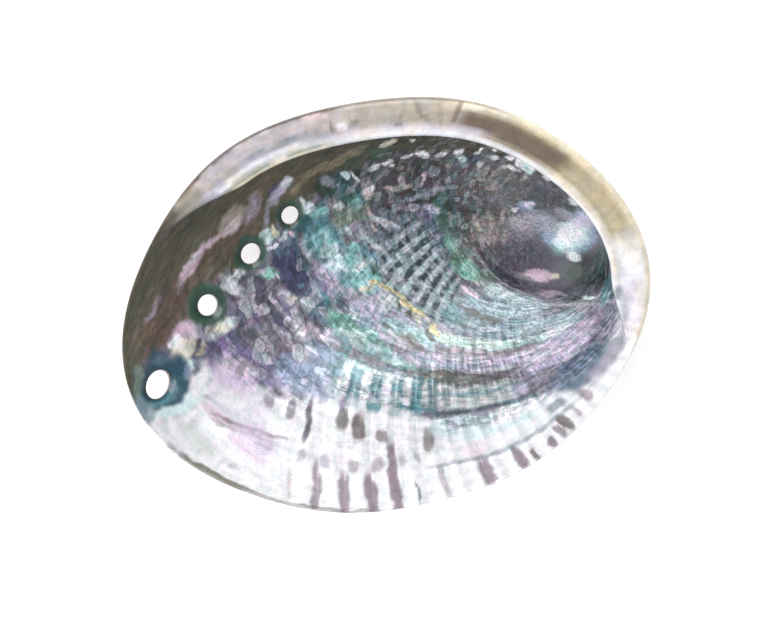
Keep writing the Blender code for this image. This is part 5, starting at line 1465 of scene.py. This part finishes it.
@dataclass
class ShellPaint:
    """Colours of the shell, laid over its points from broad washes to small marks."""

    shape: ShellShape
    ragged: float = 0.28
    dab_ragged: float = 0.30
    finest: float = 0.42
    corner: float = 3.0
    travel_warp: Span = (1.6, 3.5)
    growth_warp: Span = (0.008, 3.0)
    plan_warp: Span = (0.7, 2.4)
    streaky: Triple = (0.6, 60.0, 9.0)
    blotchy: Span = (0.4, 2.2)
    rib_blocks: Span = (1.7, 42.0)
    rib_break: float = 0.6
    rib_breaks: Span = (0.05, 0.35)
    rib_ragged: float = 0.12
    rib_soft: float = 0.07
    plain_traits: Triple = (0.35, 0.70, 1.0)
    hole_clearing: Span = (3.5, 1.5)
    youngest: Span = (-1.15, -1.35)
    young_calm: float = 0.6
    pool_reach: Span = (12.0, 10.0)
    pool_rim: Span = (1.6, 0.6)
    ring_reach: Span = (8.0, 6.0)
    ring_ragged: float = 0.9
    dark_rim: Span = (0.45, 0.1)
    plate_grain: Span = (4.0, 1.6)
    plate_turn: float = 8.0

    def warped(self, growth: Values, travel: Values, x: Values, y: Values) -> tuple[Values, Values]:
        """Growth and travel moved a little to and fro, so that no patch has a plain outline."""
        moved = travel + self.travel_warp[0] * Grain(Seed.TRAVEL).over(x, y, self.travel_warp[1])
        return growth + self.growth_warp[0] * Grain(Seed.GROWTH).over(x, y, self.growth_warp[1]), moved

    def edge_noise(self, growth: Values, travel: Values, x: Values, y: Values) -> Values:
        """Random values that make the patches ragged along the growth of the shell.

        Args:
            growth: Growth at each point.
            travel: Travel at each point.
            x: Plan positions.
            y: Plan positions.

        Returns:
            One value for each point.
        """
        share, across, along = self.streaky
        streaks = self.shape.streaks(Seed.STROKE_STREAKS, growth, travel, across, along)
        blotches = Grain(Seed.STROKE_EDGES).over(x, y, self.blotchy[1], 2)
        return share * streaks + self.blotchy[0] * blotches

    def laid(self, colour: Values, tone: Tone, weight: Values) -> Values:
        """Colour with a tone laid over it."""
        return colour + weight[:, None] * (tone.linear() - colour)

    def patch(self, patch: Patch, growth: Values, travel: Values, noise: Values) -> Values:
        """Weight of a patch at each point.

        Args:
            patch: The patch.
            growth: Growth at each point.
            travel: Travel at each point.
            noise: Random value at each point, for ragged edges.

        Returns:
            Values from 0 to the strength.
        """
        total = self.shape.growth.travel[-1]
        along = np.mod(travel - patch.travel + 0.5 * total, total) - 0.5 * total
        across = growth - patch.growth - patch.lean * along
        reach = np.interp(travel, self.shape.growth.travel, self.shape.growth.reach) * np.exp(growth)
        half = np.maximum(patch.across, self.finest / reach)
        power = self.corner
        size = (np.abs(along / patch.along) ** power + np.abs(across / half) ** power) ** (1.0 / power)
        size = size + self.ragged * noise
        strength = patch.strength * np.sqrt(patch.across / half)
        return strength * ramp(size, (1.0 + 0.5 * patch.soft, 1.0 - 0.5 * patch.soft))

    def dab(self, dab: Dab, x: Values, y: Values, noise: Values) -> Values:
        """Weight of a dab at each point.

        Args:
            dab: The dab.
            x: Plan positions.
            y: Plan positions.
            noise: Random value at each point, for ragged edges.

        Returns:
            Values from 0 to the strength.
        """
        turn = math.radians(dab.turn)
        along = (x - dab.x) * math.cos(turn) + (y - dab.y) * math.sin(turn)
        across = (y - dab.y) * math.cos(turn) - (x - dab.x) * math.sin(turn)
        size = np.hypot(along / dab.length, across / dab.width) + self.dab_ragged * noise
        return dab.strength * ramp(size, (1.0 + 0.5 * dab.soft, 1.0 - 0.5 * dab.soft))

    def ribs(self, colour: Values, growth: Values, travel: Values, noise: Values) -> Values:
        """Colour with the gaps between the ribs laid in.

        Args:
            colour: Colour of each point so far.
            growth: Growth at each point.
            travel: Travel at each point.
            noise: Random value at each point, for ragged edges.

        Returns:
            One colour for each point.
        """
        number = self.shape.cords.number(travel)
        off_gap = np.abs(np.mod(number, 1.0) - 0.5)
        across, along = self.rib_blocks
        blocks = Grain(Seed.RIB_BREAKS).over(number * across, growth * along, 1.0, 2)
        broken = 1.0 - self.rib_break * ramp(blocks, self.rib_breaks)
        for tone, travels, growths, strength, half_width in RIB_ZONES:
            zone = window(travel, travels) * window(growth, growths)
            ends = (half_width + self.rib_soft, half_width - self.rib_soft)
            gap = ramp(off_gap + self.rib_ragged * noise, ends)
            colour = self.laid(colour, tone, strength * gap * zone * broken)
        return colour

    def nacre(self, x: Values, y: Values) -> Values:
        """Colour of the bowl, with painted shade, reflections and highlights among its marks.

        Args:
            x: Plan positions.
            y: Plan positions.

        Returns:
            One row of red, green and blue for each point.
        """
        growth, travel = self.shape.growth.place(x, y)
        noise = self.edge_noise(growth, travel, x, y)
        wide, moved = self.warped(growth, travel, x, y)
        warp, cell = self.plan_warp
        aside = x + warp * Grain(Seed.ASIDE).over(x, y, cell)
        ahead = y + warp * Grain(Seed.AHEAD).over(x, y, cell)
        colour = np.tile(Tone.MAUVE.linear(), (len(x), 1))
        for wash in WASHES:
            colour = self.laid(colour, wash.tone, self.patch(wash, wide, moved, noise))
        colour = self.ribs(colour, growth, travel, noise)
        for mark in MARKS:
            weight = self.patch(mark, 0.5 * (growth + wide), 0.5 * (travel + moved), noise)
            colour = self.laid(colour, mark.tone, weight)
        strokes = CHAMBER_DABS_WITH_PAINTED_LIGHT + WALL_DABS + BOWL_DABS
        for dab in (dab for dab in strokes if not dab.tone.pale()):
            colour = self.laid(colour, dab.tone, self.dab(dab, aside, ahead, noise))
        # painted shade: darkens the upper wall and the chamber before the pale dabs, so the painted
        # highlights stay bright
        for dab in PAINTED_SHADE:
            colour = colour * (1.0 - self.dab(dab, x, y, 0.0 * noise)[:, None])
        for dab in (dab for dab in strokes if dab.tone.pale()):
            colour = self.laid(colour, dab.tone, self.dab(dab, aside, ahead, noise))
        return self.rings(colour, x, y, noise, (aside, ahead))

    def accent(self, x: Values, y: Values) -> Values:
        """Colour of the flecks at each point.

        Args:
            x: Plan positions.
            y: Plan positions.

        Returns:
            One colour for each point.
        """
        growth, travel = self.shape.growth.place(x, y)
        colour = np.tile(Tone.TEAL.linear(), (len(x), 1))
        for wash in ACCENTS:
            colour = self.laid(colour, wash.tone, self.patch(wash, growth, travel, np.zeros_like(x)))
        return colour

    def traits(self, x: Values, y: Values) -> tuple[Values, Values, Values]:
        """How strong the mosaic, the dark growth lines and the streaks are at each point.

        Args:
            x: Plan positions.
            y: Plan positions.

        Returns:
            Three values for each point.
        """
        growth, travel = self.shape.growth.place(x, y)
        values = [np.full_like(x, plain) for plain in self.plain_traits]
        for middle, stage, along, across, *aims in TRAITS:
            zone = Patch(Tone.WHITE, middle, stage, along, across, 1.0, 0.5)
            weight = self.patch(zone, growth, travel, np.zeros_like(x))
            values = [value + weight * (aim - value) for value, aim in zip(values, aims)]
        clear = 1.0 - ramp(self.shape.holes.rim_gap(x, y), self.hole_clearing)
        calm = 1.0 - self.young_calm * ramp(growth, self.youngest)
        mosaic, lines, streaks = values
        return mosaic * clear * calm, lines * clear * calm, streaks * (0.4 + 0.6 * clear)

    def rings(self, colour: Values, x: Values, y: Values, noise: Values,
              moved: tuple[Values, Values]) -> Values:
        """Colour with the dark rings round the open holes laid in, and the blue pool round the last one.

        Args:
            colour: Colour of each point so far.
            x: Plan positions.
            y: Plan positions.
            noise: Random value at each point, for ragged edges.
            moved: Positions shifted a little at random.

        Returns:
            One colour for each point.
        """
        gap = self.shape.holes.rim_gap(x, y)
        last = self.shape.holes.opened[0]
        near_last = ramp(np.hypot(x - last.x, y - last.y), self.pool_reach)
        for dab in LENS_DABS:
            colour = self.laid(colour, dab.tone, self.dab(dab, *moved, noise))
        pool_rim = ramp(gap + 0.4 * noise, self.pool_rim) * near_last
        colour = self.laid(colour, Tone.LENS_BLUE, 0.8 * pool_rim)
        for hole, width in zip(self.shape.holes.opened[1:], RING_WIDTHS):
            near = ramp(np.hypot(x - hole.x, y - hole.y), self.ring_reach) * (1.0 - near_last)
            halo = ramp(gap + self.ring_ragged * noise, (width + 1.0, width - 0.5)) * near
            colour = self.laid(colour, Tone.RING_GREEN, 0.9 * halo)
            colour = self.laid(colour, Tone.DARK_GREEN, 0.6 * ramp(gap, (0.6 * width, 0.3 * width)) * near)
        return self.laid(colour, Tone.DARK, 0.8 * ramp(gap, self.dark_rim))

    def plate(self, inset: Values, angle: Values, x: Values, y: Values) -> Values:
        """Colour of the inner plate.

        Args:
            inset: Distances from the outer edge.
            angle: Angles about the middle of the bowl.
            x: Plan positions.
            y: Plan positions.

        Returns:
            One row of red, green and blue for each point.
        """
        seen = np.mod(angle + 90.0, 360.0) - 90.0
        turn_grain, inset_grain = self.plate_grain
        noise = Grain(Seed.PLATE_BANDS).over(seen / turn_grain, inset / inset_grain, 1.0)
        colour = np.tile(Tone.PLATE_GREY.linear(), (len(x), 1))
        for band in PLATE_BANDS:
            low, high = band.insets
            across = window(inset + 0.3 * noise, (low - band.soft, low, high, high + band.soft))
            first, last = band.angles
            astray = 2.0 * noise * min(band.turn_soft / self.plate_turn, 1.0)
            along = window(seen + astray, (first - band.turn_soft, first, last, last + band.turn_soft))
            colour = self.laid(colour, band.tone, band.strength * across * along)
        rough = Grain(Seed.PLATE_DABS).over(x, y, inset_grain)
        for dab in PLATE_DABS:
            colour = self.laid(colour, dab.tone, self.dab(dab, x, y, rough))
        return colour


@dataclass
class ShellSkin:
    """Values stored on the shell's points for its finish."""

    shape: ShellShape
    paint: ShellPaint
    plate_starts: Span = (0.05, 0.4)
    plate_ends: Span = (0.86, 0.74)
    crust_over: Span = (0.03, 0.6)

    def carry(self, item: bpy.types.Object, before: list[Vector], stations: Values,
              sides: Values) -> tuple[Values, Values]:
        """Stations and sides of the cut mesh's points, from the nearest points before the cut.

        Args:
            item: The cut shell.
            before: Points before the cut.
            stations: Station of each of those points.
            sides: Side of each of those points.

        Returns:
            Stations and sides.
        """
        tree = kdtree.KDTree(len(before))
        for index, point in enumerate(before):
            tree.insert(point, index)
        tree.balance()
        found = np.array([tree.find(vertex.co)[1] for vertex in item.data.vertices])
        return stations[found], sides[found]

    def dress(self, item: bpy.types.Object, stations: Values, sides: Values) -> None:
        """Writes colour, place and finish shares to the mesh.

        Args:
            item: The shell.
            stations: Where each point lies on the edge's section.
            sides: The side of each point.
        """
        count = len(item.data.vertices)
        flat = np.zeros(count * 3)
        item.data.vertices.foreach_get("co", flat)
        points = flat.reshape(-1, 3) / MM
        x, y = points[:, 0], points[:, 1]
        share, angle = self.shape.margin.polar(x, y)
        unit = 1.0 - self.shape.margin.inset_share(1.0, angle)
        inset = (1.0 - share) / np.maximum(unit, TINY)
        weight = self.shape.edge.weight(angle)
        growth, travel = self.shape.growth.place(x, y)
        on_plate = np.where(sides == Side.EDGE.value, 1.0, 0.0) * ramp(weight, self.plate_starts)
        on_plate = on_plate * ramp(stations, self.plate_ends)
        colour = self.paint.nacre(x, y)
        plate = self.paint.plate(inset, angle, x, y)
        colour = colour + on_plate[:, None] * (plate - colour)
        crust = np.where(sides == Side.BACK.value, 1.0, 0.0)
        station, part = self.crust_over
        under = np.where((sides == Side.EDGE.value) & (stations < station), part, 0.0)
        turn = 2 * math.pi * travel / self.shape.growth.travel[-1]
        opaque = np.ones(count)
        stored = {"paint": (*colour.T, opaque),
                  "fleck": (*self.paint.accent(x, y).T, opaque),
                  "traits": self.paint.traits(x, y),
                  "ring": (np.cos(turn), np.sin(turn), growth),
                  "parts": (on_plate, np.maximum(crust, under), share)}
        for name, columns in stored.items():
            kind, slot = ("FLOAT_COLOR", "color") if len(columns) == 4 else ("FLOAT_VECTOR", "vector")
            layer = item.data.attributes.new(name, kind, "POINT")
            layer.data.foreach_set(slot, np.stack(columns, axis=1).ravel())


class Link:
    """Output socket of a shader, with arithmetic that adds Math nodes."""

    def __init__(self, shader: "Shader", socket: Any) -> None:
        """Keeps the socket and the shader that it belongs to."""
        self.shader = shader
        self.socket = socket

    def _with(self, operation: str, first: Any, second: Any) -> "Link":
        """Math node on two values."""
        return self.shader.node("ShaderNodeMath", {"operation": operation}, {0: first, 1: second})

    def __add__(self, other: Any) -> "Link":
        """Sum."""
        return self._with("ADD", self, other)

    __radd__ = __add__

    def __mul__(self, other: Any) -> "Link":
        """Product."""
        return self._with("MULTIPLY", self, other)

    __rmul__ = __mul__

    def __sub__(self, other: Any) -> "Link":
        """Difference."""
        return self._with("SUBTRACT", self, other)

    def __rsub__(self, other: Any) -> "Link":
        """Difference from a number."""
        return self._with("SUBTRACT", other, self)


@dataclass
class Shader:
    """A material's nodes."""

    name: str
    material: bpy.types.Material = field(init=False)
    principled: Any = field(init=False)

    def __post_init__(self) -> None:
        """Starts the material."""
        self.material = bpy.data.materials.new(self.name)
        self.material.use_nodes = True
        self.principled = self.material.node_tree.nodes["Principled BSDF"]

    def node(self, kind: str, settings: dict[str, Any] | None = None, values: dict[Any, Any] | None = None,
             output: int | str = 0) -> Link:
        """Adds a node.

        Args:
            kind: The node's type.
            settings: Its settings, set first; the stops of a ramp are pairs of place and colour.
            values: Values or links for its sockets.
            output: Which output to give back.

        Returns:
            The output as a link.
        """
        node = self.material.node_tree.nodes.new(kind)
        for key, value in (settings or {}).items():
            if key == "stops":
                elements = node.color_ramp.elements
                while len(elements) < len(value):
                    elements.new(1.0)
                for element, (place, colour) in zip(elements, value):
                    element.position = place
                    element.color = (*colour, 1.0)
            else:
                setattr(node, key, value)
        for key, value in (values or {}).items():
            self.feed(node.inputs[key], value)
        return Link(self, node.outputs[output])

    def feed(self, socket: Any, value: Any) -> None:
        """Links a socket or sets its value.

        Args:
            socket: Input socket.
            value: Link or value for it.
        """
        if isinstance(value, Link):
            self.material.node_tree.links.new(value.socket, socket)
        else:
            socket.default_value = value

    def attribute(self, name: str, output: str) -> Link:
        """Value stored on the mesh."""
        return self.node("ShaderNodeAttribute", {"attribute_name": name}, output=output)

    def mix(self, factor: Any, first: Any, second: Any, blend: str = "MIX") -> Link:
        """Mix of two colours."""
        return self.node("ShaderNodeMix", {"data_type": "RGBA", "blend_type": blend},
                         {0: factor, 6: first, 7: second}, 2)

    def smooth(self, value: Any, low: float, high: float) -> Link:
        """0 at the low end easing to 1 at the high end."""
        return self.node("ShaderNodeMapRange", {"interpolation_type": "SMOOTHSTEP"},
                         {"Value": value, "From Min": low, "From Max": high})

    def noise(self, place: Any, scale: float, detail: float = 2.0, roughness: float = 0.5) -> Link:
        """Smooth noise from 0 to 1."""
        return self.node("ShaderNodeTexNoise", {}, {"Vector": place, "Scale": scale, "Detail": detail,
                                                     "Roughness": roughness})

    def vector(self, operation: str, first: Any, second: Any) -> Link:
        """Vector Math node on two vectors."""
        return self.node("ShaderNodeVectorMath", {"operation": operation}, {0: first, 1: second})

    def scaled(self, place: Any, factors: Triple) -> Link:
        """Vector with each axis scaled."""
        return self.vector("MULTIPLY", place, factors)

    def parted(self, value: Link) -> tuple[Link, Link, Link]:
        """The three numbers of a vector.

        Args:
            value: The vector.

        Returns:
            One link for each number.
        """
        first = self.node("ShaderNodeSeparateXYZ", {}, {0: value})
        outputs = first.socket.node.outputs
        return first, Link(self, outputs[1]), Link(self, outputs[2])


def grey(value: float) -> Quad:
    """Neutral colour."""
    return (value, value, value, 1.0)


@dataclass(frozen=True)
class ShellFinish:
    """Nacre inside, worn enamel on the plate and a weathered crust on the back, in one material."""

    nacre_metallic: float = 0.10
    nacre_roughness: float = 0.30
    plate_roughness: float = 0.36
    crust_roughness: float = 0.82
    coat: float = 0.35
    coat_roughness: float = 0.10
    crust_low: Quad = (0.075, 0.045, 0.030, 1.0)
    crust_high: Quad = (0.26, 0.17, 0.11, 1.0)
    crust_moss: Quad = (0.11, 0.12, 0.07, 1.0)
    crust_lime: Quad = (0.55, 0.50, 0.44, 1.0)
    pale_plates: Quad = (0.84, 0.82, 0.88, 1.0)
    deep_plates: Quad = (0.36, 0.36, 0.42, 1.0)
    dark_lines: Quad = (0.28, 0.32, 0.36, 1.0)
    green_tint: Quad = (0.88, 1.05, 1.02, 1.0)
    pink_tint: Quad = (1.08, 0.95, 1.03, 1.0)
    cool_tint: Quad = (0.97, 0.99, 1.05, 1.0)
    warm_tint: Quad = (1.03, 1.0, 0.93, 1.0)
    sway: Triple = (0.05, 0.05, 0.02)
    streak_scale: Triple = (12.0, 12.0, 60.0)
    fine_scale: Triple = (22.0, 22.0, 330.0)
    line_scale: Triple = (2.6, 2.6, 42.0)
    bar_scale: Triple = (42.0, 42.0, 22.0)
    cell_scale: Triple = (13.0, 13.0, 44.0)
    band_scale: Triple = (3.0, 3.0, 26.0)
    cell_shift: float = 0.95
    sway_scale: float = 330.0
    speck_scale: float = 420.0
    blotch_scale: float = 300.0
    warm_scale: float = 170.0
    spot_scale: float = 95.0
    grain_scale: float = 600.0
    relief: Span = (0.4, 0.0004)

    def material(self) -> bpy.types.Material:
        """Builds the material.

        Returns:
            The material, with its nodes linked.
        """
        shader = Shader("nacre")
        paint = shader.attribute("paint", "Color")
        fleck = shader.attribute("fleck", "Color")
        plate, crust, _ = shader.parted(shader.attribute("parts", "Vector"))
        mottle, lined, bold = shader.parted(shader.attribute("traits", "Vector"))
        place = shader.node("ShaderNodeTexCoord", output="Object")
        noise = {"Vector": place, "Scale": self.sway_scale, "Detail": 2.0}
        sway = shader.node("ShaderNodeTexNoise", {}, noise, "Color")
        sway = shader.vector("MULTIPLY", shader.vector("SUBTRACT", sway, (0.5, 0.5, 0.5)), self.sway)
        ring = shader.vector("ADD", shader.attribute("ring", "Vector"), sway)
        streak = shader.noise(shader.scaled(ring, self.streak_scale), 1.0, 2.0, 0.5)
        fine = shader.noise(shader.scaled(ring, self.fine_scale), 1.0, 2.0, 0.6)
        lines = shader.noise(shader.scaled(ring, self.line_scale), 1.0, 2.0, 0.55)
        across = shader.noise(shader.scaled(ring, self.bar_scale), 1.0, 2.0, 0.5)
        cell = {"Vector": shader.scaled(ring, self.cell_scale), "Scale": 1.0, "Randomness": self.cell_shift}
        random = shader.node("ShaderNodeTexVoronoi", {"feature": "F1"}, cell, "Color")
        pick, light, _ = shader.parted(random)
        seam = shader.node("ShaderNodeTexVoronoi", {"feature": "DISTANCE_TO_EDGE"}, cell, "Distance")
        cells = shader.noise(place, self.speck_scale, 3.0, 0.6)
        mosaic = self.mosaic(shader, paint, fleck, mottle, (pick, light, seam))
        nacre = self.nacre_colour(shader, mosaic, (lined, bold), (streak, fine, lines, across, cells))
        enamel = self.plate_colour(shader, paint, place, fine)
        inside = shader.mix(plate, nacre, enamel)
        colour = shader.mix(crust, inside, self.crust_colour(shader, ring, place))
        shader.feed(shader.principled.inputs["Base Color"], colour)
        rough = self.nacre_roughness + (cells - 0.5) * 0.16
        rough = rough + plate * (self.plate_roughness - self.nacre_roughness)
        rough = rough + crust * (self.crust_roughness - self.nacre_roughness)
        shader.feed(shader.principled.inputs["Roughness"], rough)
        metallic = (1.0 - crust) * (1.0 - plate) * self.nacre_metallic
        shader.feed(shader.principled.inputs["Metallic"], metallic)
        shader.feed(shader.principled.inputs["Coat Weight"], (1.0 - crust) * self.coat)
        shader.principled.inputs["Coat Roughness"].default_value = self.coat_roughness
        lift = (fine - 0.5) * 0.35 + (streak - 0.5) * 0.6 + (cells - 0.5) * 0.25 + (across - 0.5) * 0.3
        lift = lift * (1.0 - plate * 0.7) + crust * (cells - 0.5) * 2.5
        strength, distance = self.relief
        relief = {"Strength": strength, "Distance": distance, "Height": lift}
        bump = shader.node("ShaderNodeBump", {}, relief)
        shader.feed(shader.principled.inputs["Normal"], bump)
        return shader.material

    def mosaic(self, shader: Shader, paint: Link, fleck: Link, mottle: Link,
               cell: tuple[Link, Link, Link]) -> Link:
        """Paint broken up into small plates of differing colour with dark seams between them.

        Args:
            shader: The shell's shader.
            paint: Colour stored on the mesh.
            fleck: Colour of some of the small plates.
            mottle: How strong the mosaic is.
            cell: Two random numbers of each small plate and the distance from its seam.

        Returns:
            The broken colour.
        """
        pick, light, seam = cell
        pale = shader.mix(0.62, paint, self.pale_plates)
        deep = shader.mix(1.0, paint, self.deep_plates, "MULTIPLY")
        colour = shader.mix(shader.smooth(pick, 0.60, 0.68) * mottle * 0.85, paint, fleck)
        colour = shader.mix(shader.smooth(light, 0.70, 0.80) * mottle * 0.85, colour, pale)
        colour = shader.mix(shader.smooth(light, 0.26, 0.20) * mottle * 0.7, colour, deep)
        return shader.mix(shader.smooth(seam, 0.10, 0.02) * mottle * 0.75, colour, deep)

    def nacre_colour(self, shader: Shader, paint: Link, traits: tuple[Link, Link],
                     noises: tuple[Link, ...]) -> Link:
        """Nacre with streaks and dark lines along the growth of the shell.

        Args:
            shader: The shell's shader.
            paint: Colour so far.
            traits: How strong the dark lines and the streaks are.
            noises: Streaks, fine streaks, lines, bars along the cords and cells.

        Returns:
            The nacre's colour.
        """
        lined, bold = traits
        streak, fine, lines, across, cells = noises
        deep = shader.mix(1.0, paint, self.dark_lines, "MULTIPLY")
        off_line = shader.node("ShaderNodeMath", {"operation": "ABSOLUTE"}, {0: lines - 0.5})
        off_next = shader.node("ShaderNodeMath", {"operation": "ABSOLUTE"}, {0: lines - 0.40})
        colour = shader.mix(shader.smooth(off_line, 0.022, 0.008) * lined * 0.85, paint, deep)
        colour = shader.mix(shader.smooth(off_next, 0.017, 0.006) * lined * 0.8, colour, deep)
        hue = shader.smooth(across * 0.5 + cells * 0.5, 0.40, 0.60)
        tinted = shader.mix(hue, self.green_tint, self.pink_tint)
        bars = shader.smooth(streak * 0.55 + across * 0.45, 0.40, 0.60)
        light = shader.smooth(fine * 0.4 + cells * 0.6, 0.36, 0.64)
        colour = shader.mix(bold * 0.8 + 0.2, colour, shader.mix(1.0, colour, tinted, "MULTIPLY"))
        barred = shader.mix(1.0, colour, shader.mix(bars, grey(0.60), grey(1.32)), "MULTIPLY")
        colour = shader.mix(bold, colour, barred)
        shaded = shader.mix(1.0, colour, shader.mix(light, grey(0.88), grey(1.08)), "MULTIPLY")
        return shader.mix(bold * 0.7 + 0.3, colour, shaded)

    def plate_colour(self, shader: Shader, paint: Link, place: Link, fine: Link) -> Link:
        """Paint with faint blotches and lines, a little cooler or warmer from place to place.

        Args:
            shader: The shell's shader.
            paint: Colour stored on the mesh.
            place: Position in the shell.
            fine: Fine streaks.

        Returns:
            The plate's colour.
        """
        blotch = shader.smooth(shader.noise(place, self.blotch_scale, 4.0, 0.65), 0.38, 0.62)
        warm = shader.smooth(shader.noise(place, self.warm_scale, 3.0, 0.6), 0.40, 0.62)
        shade = shader.mix(blotch * 0.65 + fine * 0.35, grey(0.80), grey(1.12))
        tint = shader.mix(warm, self.cool_tint, self.warm_tint)
        return shader.mix(1.0, shader.mix(1.0, paint, tint, "MULTIPLY"), shade, "MULTIPLY")

    def crust_colour(self, shader: Shader, ring: Link, place: Link) -> Link:
        """Brown crust in bands along old edges, with moss-green and limy spots.

        Args:
            shader: The shell's shader.
            ring: Place by growth and travel.
            place: Position in the shell.

        Returns:
            The crust's colour.
        """
        band = shader.noise(shader.scaled(ring, self.band_scale), 1.0, 4.0, 0.6)
        spots = shader.noise(place, self.spot_scale, 4.0, 0.65)
        grain = shader.noise(place, self.grain_scale, 3.0, 0.6)
        colour = shader.mix(shader.smooth(band, 0.35, 0.65), self.crust_low, self.crust_high)
        colour = shader.mix(shader.smooth(spots, 0.50, 0.66) * 0.6, colour, self.crust_moss)
        lime = shader.smooth(spots * 0.6 + grain * 0.4, 0.60, 0.68)
        colour = shader.mix(lime * 0.8, colour, self.crust_lime)
        return shader.mix(1.0, colour, shader.mix(grain, grey(0.7), grey(1.3)), "MULTIPLY")


@dataclass
class Shell:
    """The whole shell."""

    shape: ShellShape = field(default_factory=ShellShape)
    finish: ShellFinish = field(default_factory=ShellFinish)
    sharp: float = 50.0

    def build(self) -> bpy.types.Object:
        """Makes the shell with its holes, its stored values and its finish.

        Returns:
            The shell, set on the floor.
        """
        maker = ShellMesh(self.shape)
        item, stations, sides = maker.build()
        before = [vertex.co.copy() for vertex in item.data.vertices]
        maker.cut(item)
        skin = ShellSkin(self.shape, ShellPaint(self.shape))
        skin.dress(item, *skin.carry(item, before, stations, sides))
        item.data.shade_smooth()
        item.data.set_sharp_from_angle(angle=math.radians(self.sharp))
        item.data.materials.clear()
        item.data.materials.append(self.finish.material())
        self.settle(item)
        return item

    def settle(self, item: bpy.types.Object) -> None:
        """Sets the shell on the floor, its plan's middle at the origin, within the room of its solid.

        Args:
            item: The shell.
        """
        low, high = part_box("abalone_shell")
        count = len(item.data.vertices)
        flat = np.zeros(count * 3)
        item.data.vertices.foreach_get("co", flat)
        points = flat.reshape(-1, 3)
        own_low, own_high = points.min(axis=0), points.max(axis=0)
        scale = (np.array(high) - np.array(low)) / (own_high - own_low)
        moved = np.array(low) + (points - own_low) * scale
        item.data.vertices.foreach_set("co", moved.ravel())
        item.data.update()
        LOG.info("shell fitted by %s", np.round(scale, 5))


@dataclass(frozen=True)
class Studio:
    """Pale floor, soft light from the far side and from all round, and the camera straight above."""

    floor_size: float = 4.0
    floor_colour: Quad = (0.50, 0.50, 0.50, 1.0)
    floor_glow: float = 0.72
    floor_grain: Span = (900.0, 1.01)
    floor_roughness: float = 0.9
    floor_gloss: float = 0.1
    sky: float = 0.50
    key_place: Triple = (-0.06, 0.42, 0.55)
    key_size: float = 0.45
    key_power: float = 3.1
    fill_place: Triple = (-0.45, -0.38, 0.34)
    fill_size: float = 0.25
    fill_power: float = 2.4
    view: Span = (-0.00053, -0.00449)
    rim_height: float = 0.028
    lens: float = 300.0
    sensor: float = 36.0
    seen_width: float = 0.2029

    def floor(self) -> bpy.types.Object:
        """Floor under the shell.

        Returns:
            The floor.
        """
        half = 0.5 * self.floor_size
        data = bpy.data.meshes.new("floor")
        corners = [(-half, -half, 0.0), (half, -half, 0.0), (half, half, 0.0), (-half, half, 0.0)]
        data.from_pydata(corners, [], [(0, 1, 2, 3)])
        item = bpy.data.objects.new("floor", data)
        bpy.context.scene.collection.objects.link(item)
        shader = Shader("floor")
        place = shader.node("ShaderNodeTexCoord", output="Object")
        scale, paler = self.floor_grain
        grain = shader.noise(place, scale, 2.0)
        pale = (*[value * paler for value in self.floor_colour[:3]], 1.0)
        tint = shader.mix(grain, self.floor_colour, pale)
        shader.feed(shader.principled.inputs["Base Color"], tint)
        shader.principled.inputs["Roughness"].default_value = self.floor_roughness
        shader.principled.inputs["Specular IOR Level"].default_value = self.floor_gloss
        shader.principled.inputs["Emission Color"].default_value = (1.0, 1.0, 1.0, 1.0)
        shader.principled.inputs["Emission Strength"].default_value = self.floor_glow
        item.data.materials.append(shader.material)
        return item

    def lights(self) -> None:
        """Sky, the soft key light and the soft fill light."""
        world = bpy.data.worlds.new("sky")
        world.use_nodes = True
        world.node_tree.nodes["Background"].inputs["Color"].default_value = (1.0, 1.0, 1.0, 1.0)
        world.node_tree.nodes["Background"].inputs["Strength"].default_value = self.sky
        bpy.context.scene.world = world
        self.light("key", self.key_place, self.key_size, self.key_power)
        self.light("fill", self.fill_place, self.fill_size, self.fill_power)

    def light(self, name: str, place: Triple, size: float, power: float) -> None:
        """Square soft light turned to the shell.

        Args:
            name: The light's name.
            place: Its position.
            size: Side of its square.
            power: Its power in watts.
        """
        data = bpy.data.lights.new(name, "AREA")
        data.shape = "SQUARE"
        data.size = size
        data.energy = power
        item = bpy.data.objects.new(name, data)
        bpy.context.scene.collection.objects.link(item)
        item.location = place
        item.rotation_euler = (-Vector(place)).to_track_quat("-Z", "Y").to_euler()

    def camera(self) -> None:
        """Camera above the shell, looking straight down."""
        data = bpy.data.cameras.new("camera")
        data.lens = self.lens
        data.sensor_width = self.sensor
        item = bpy.data.objects.new("camera", data)
        bpy.context.scene.collection.objects.link(item)
        item.location = (*self.view, self.rim_height + self.seen_width * self.lens / self.sensor)
        bpy.context.scene.camera = item
        bpy.context.scene.view_settings.view_transform = "Standard"


def main() -> None:
    """Builds the shell and its studio."""
    logging.basicConfig(level=logging.INFO, format="%(message)s")
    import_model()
    shell = Shell().build()
    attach(shell, "root")
    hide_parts("abalone_shell")
    LOG.info("shell: %d points, %d faces", len(shell.data.vertices), len(shell.data.polygons))
    studio = Studio()
    studio.floor()
    studio.lights()
    studio.camera()


if __name__ == "__main__":
    main()
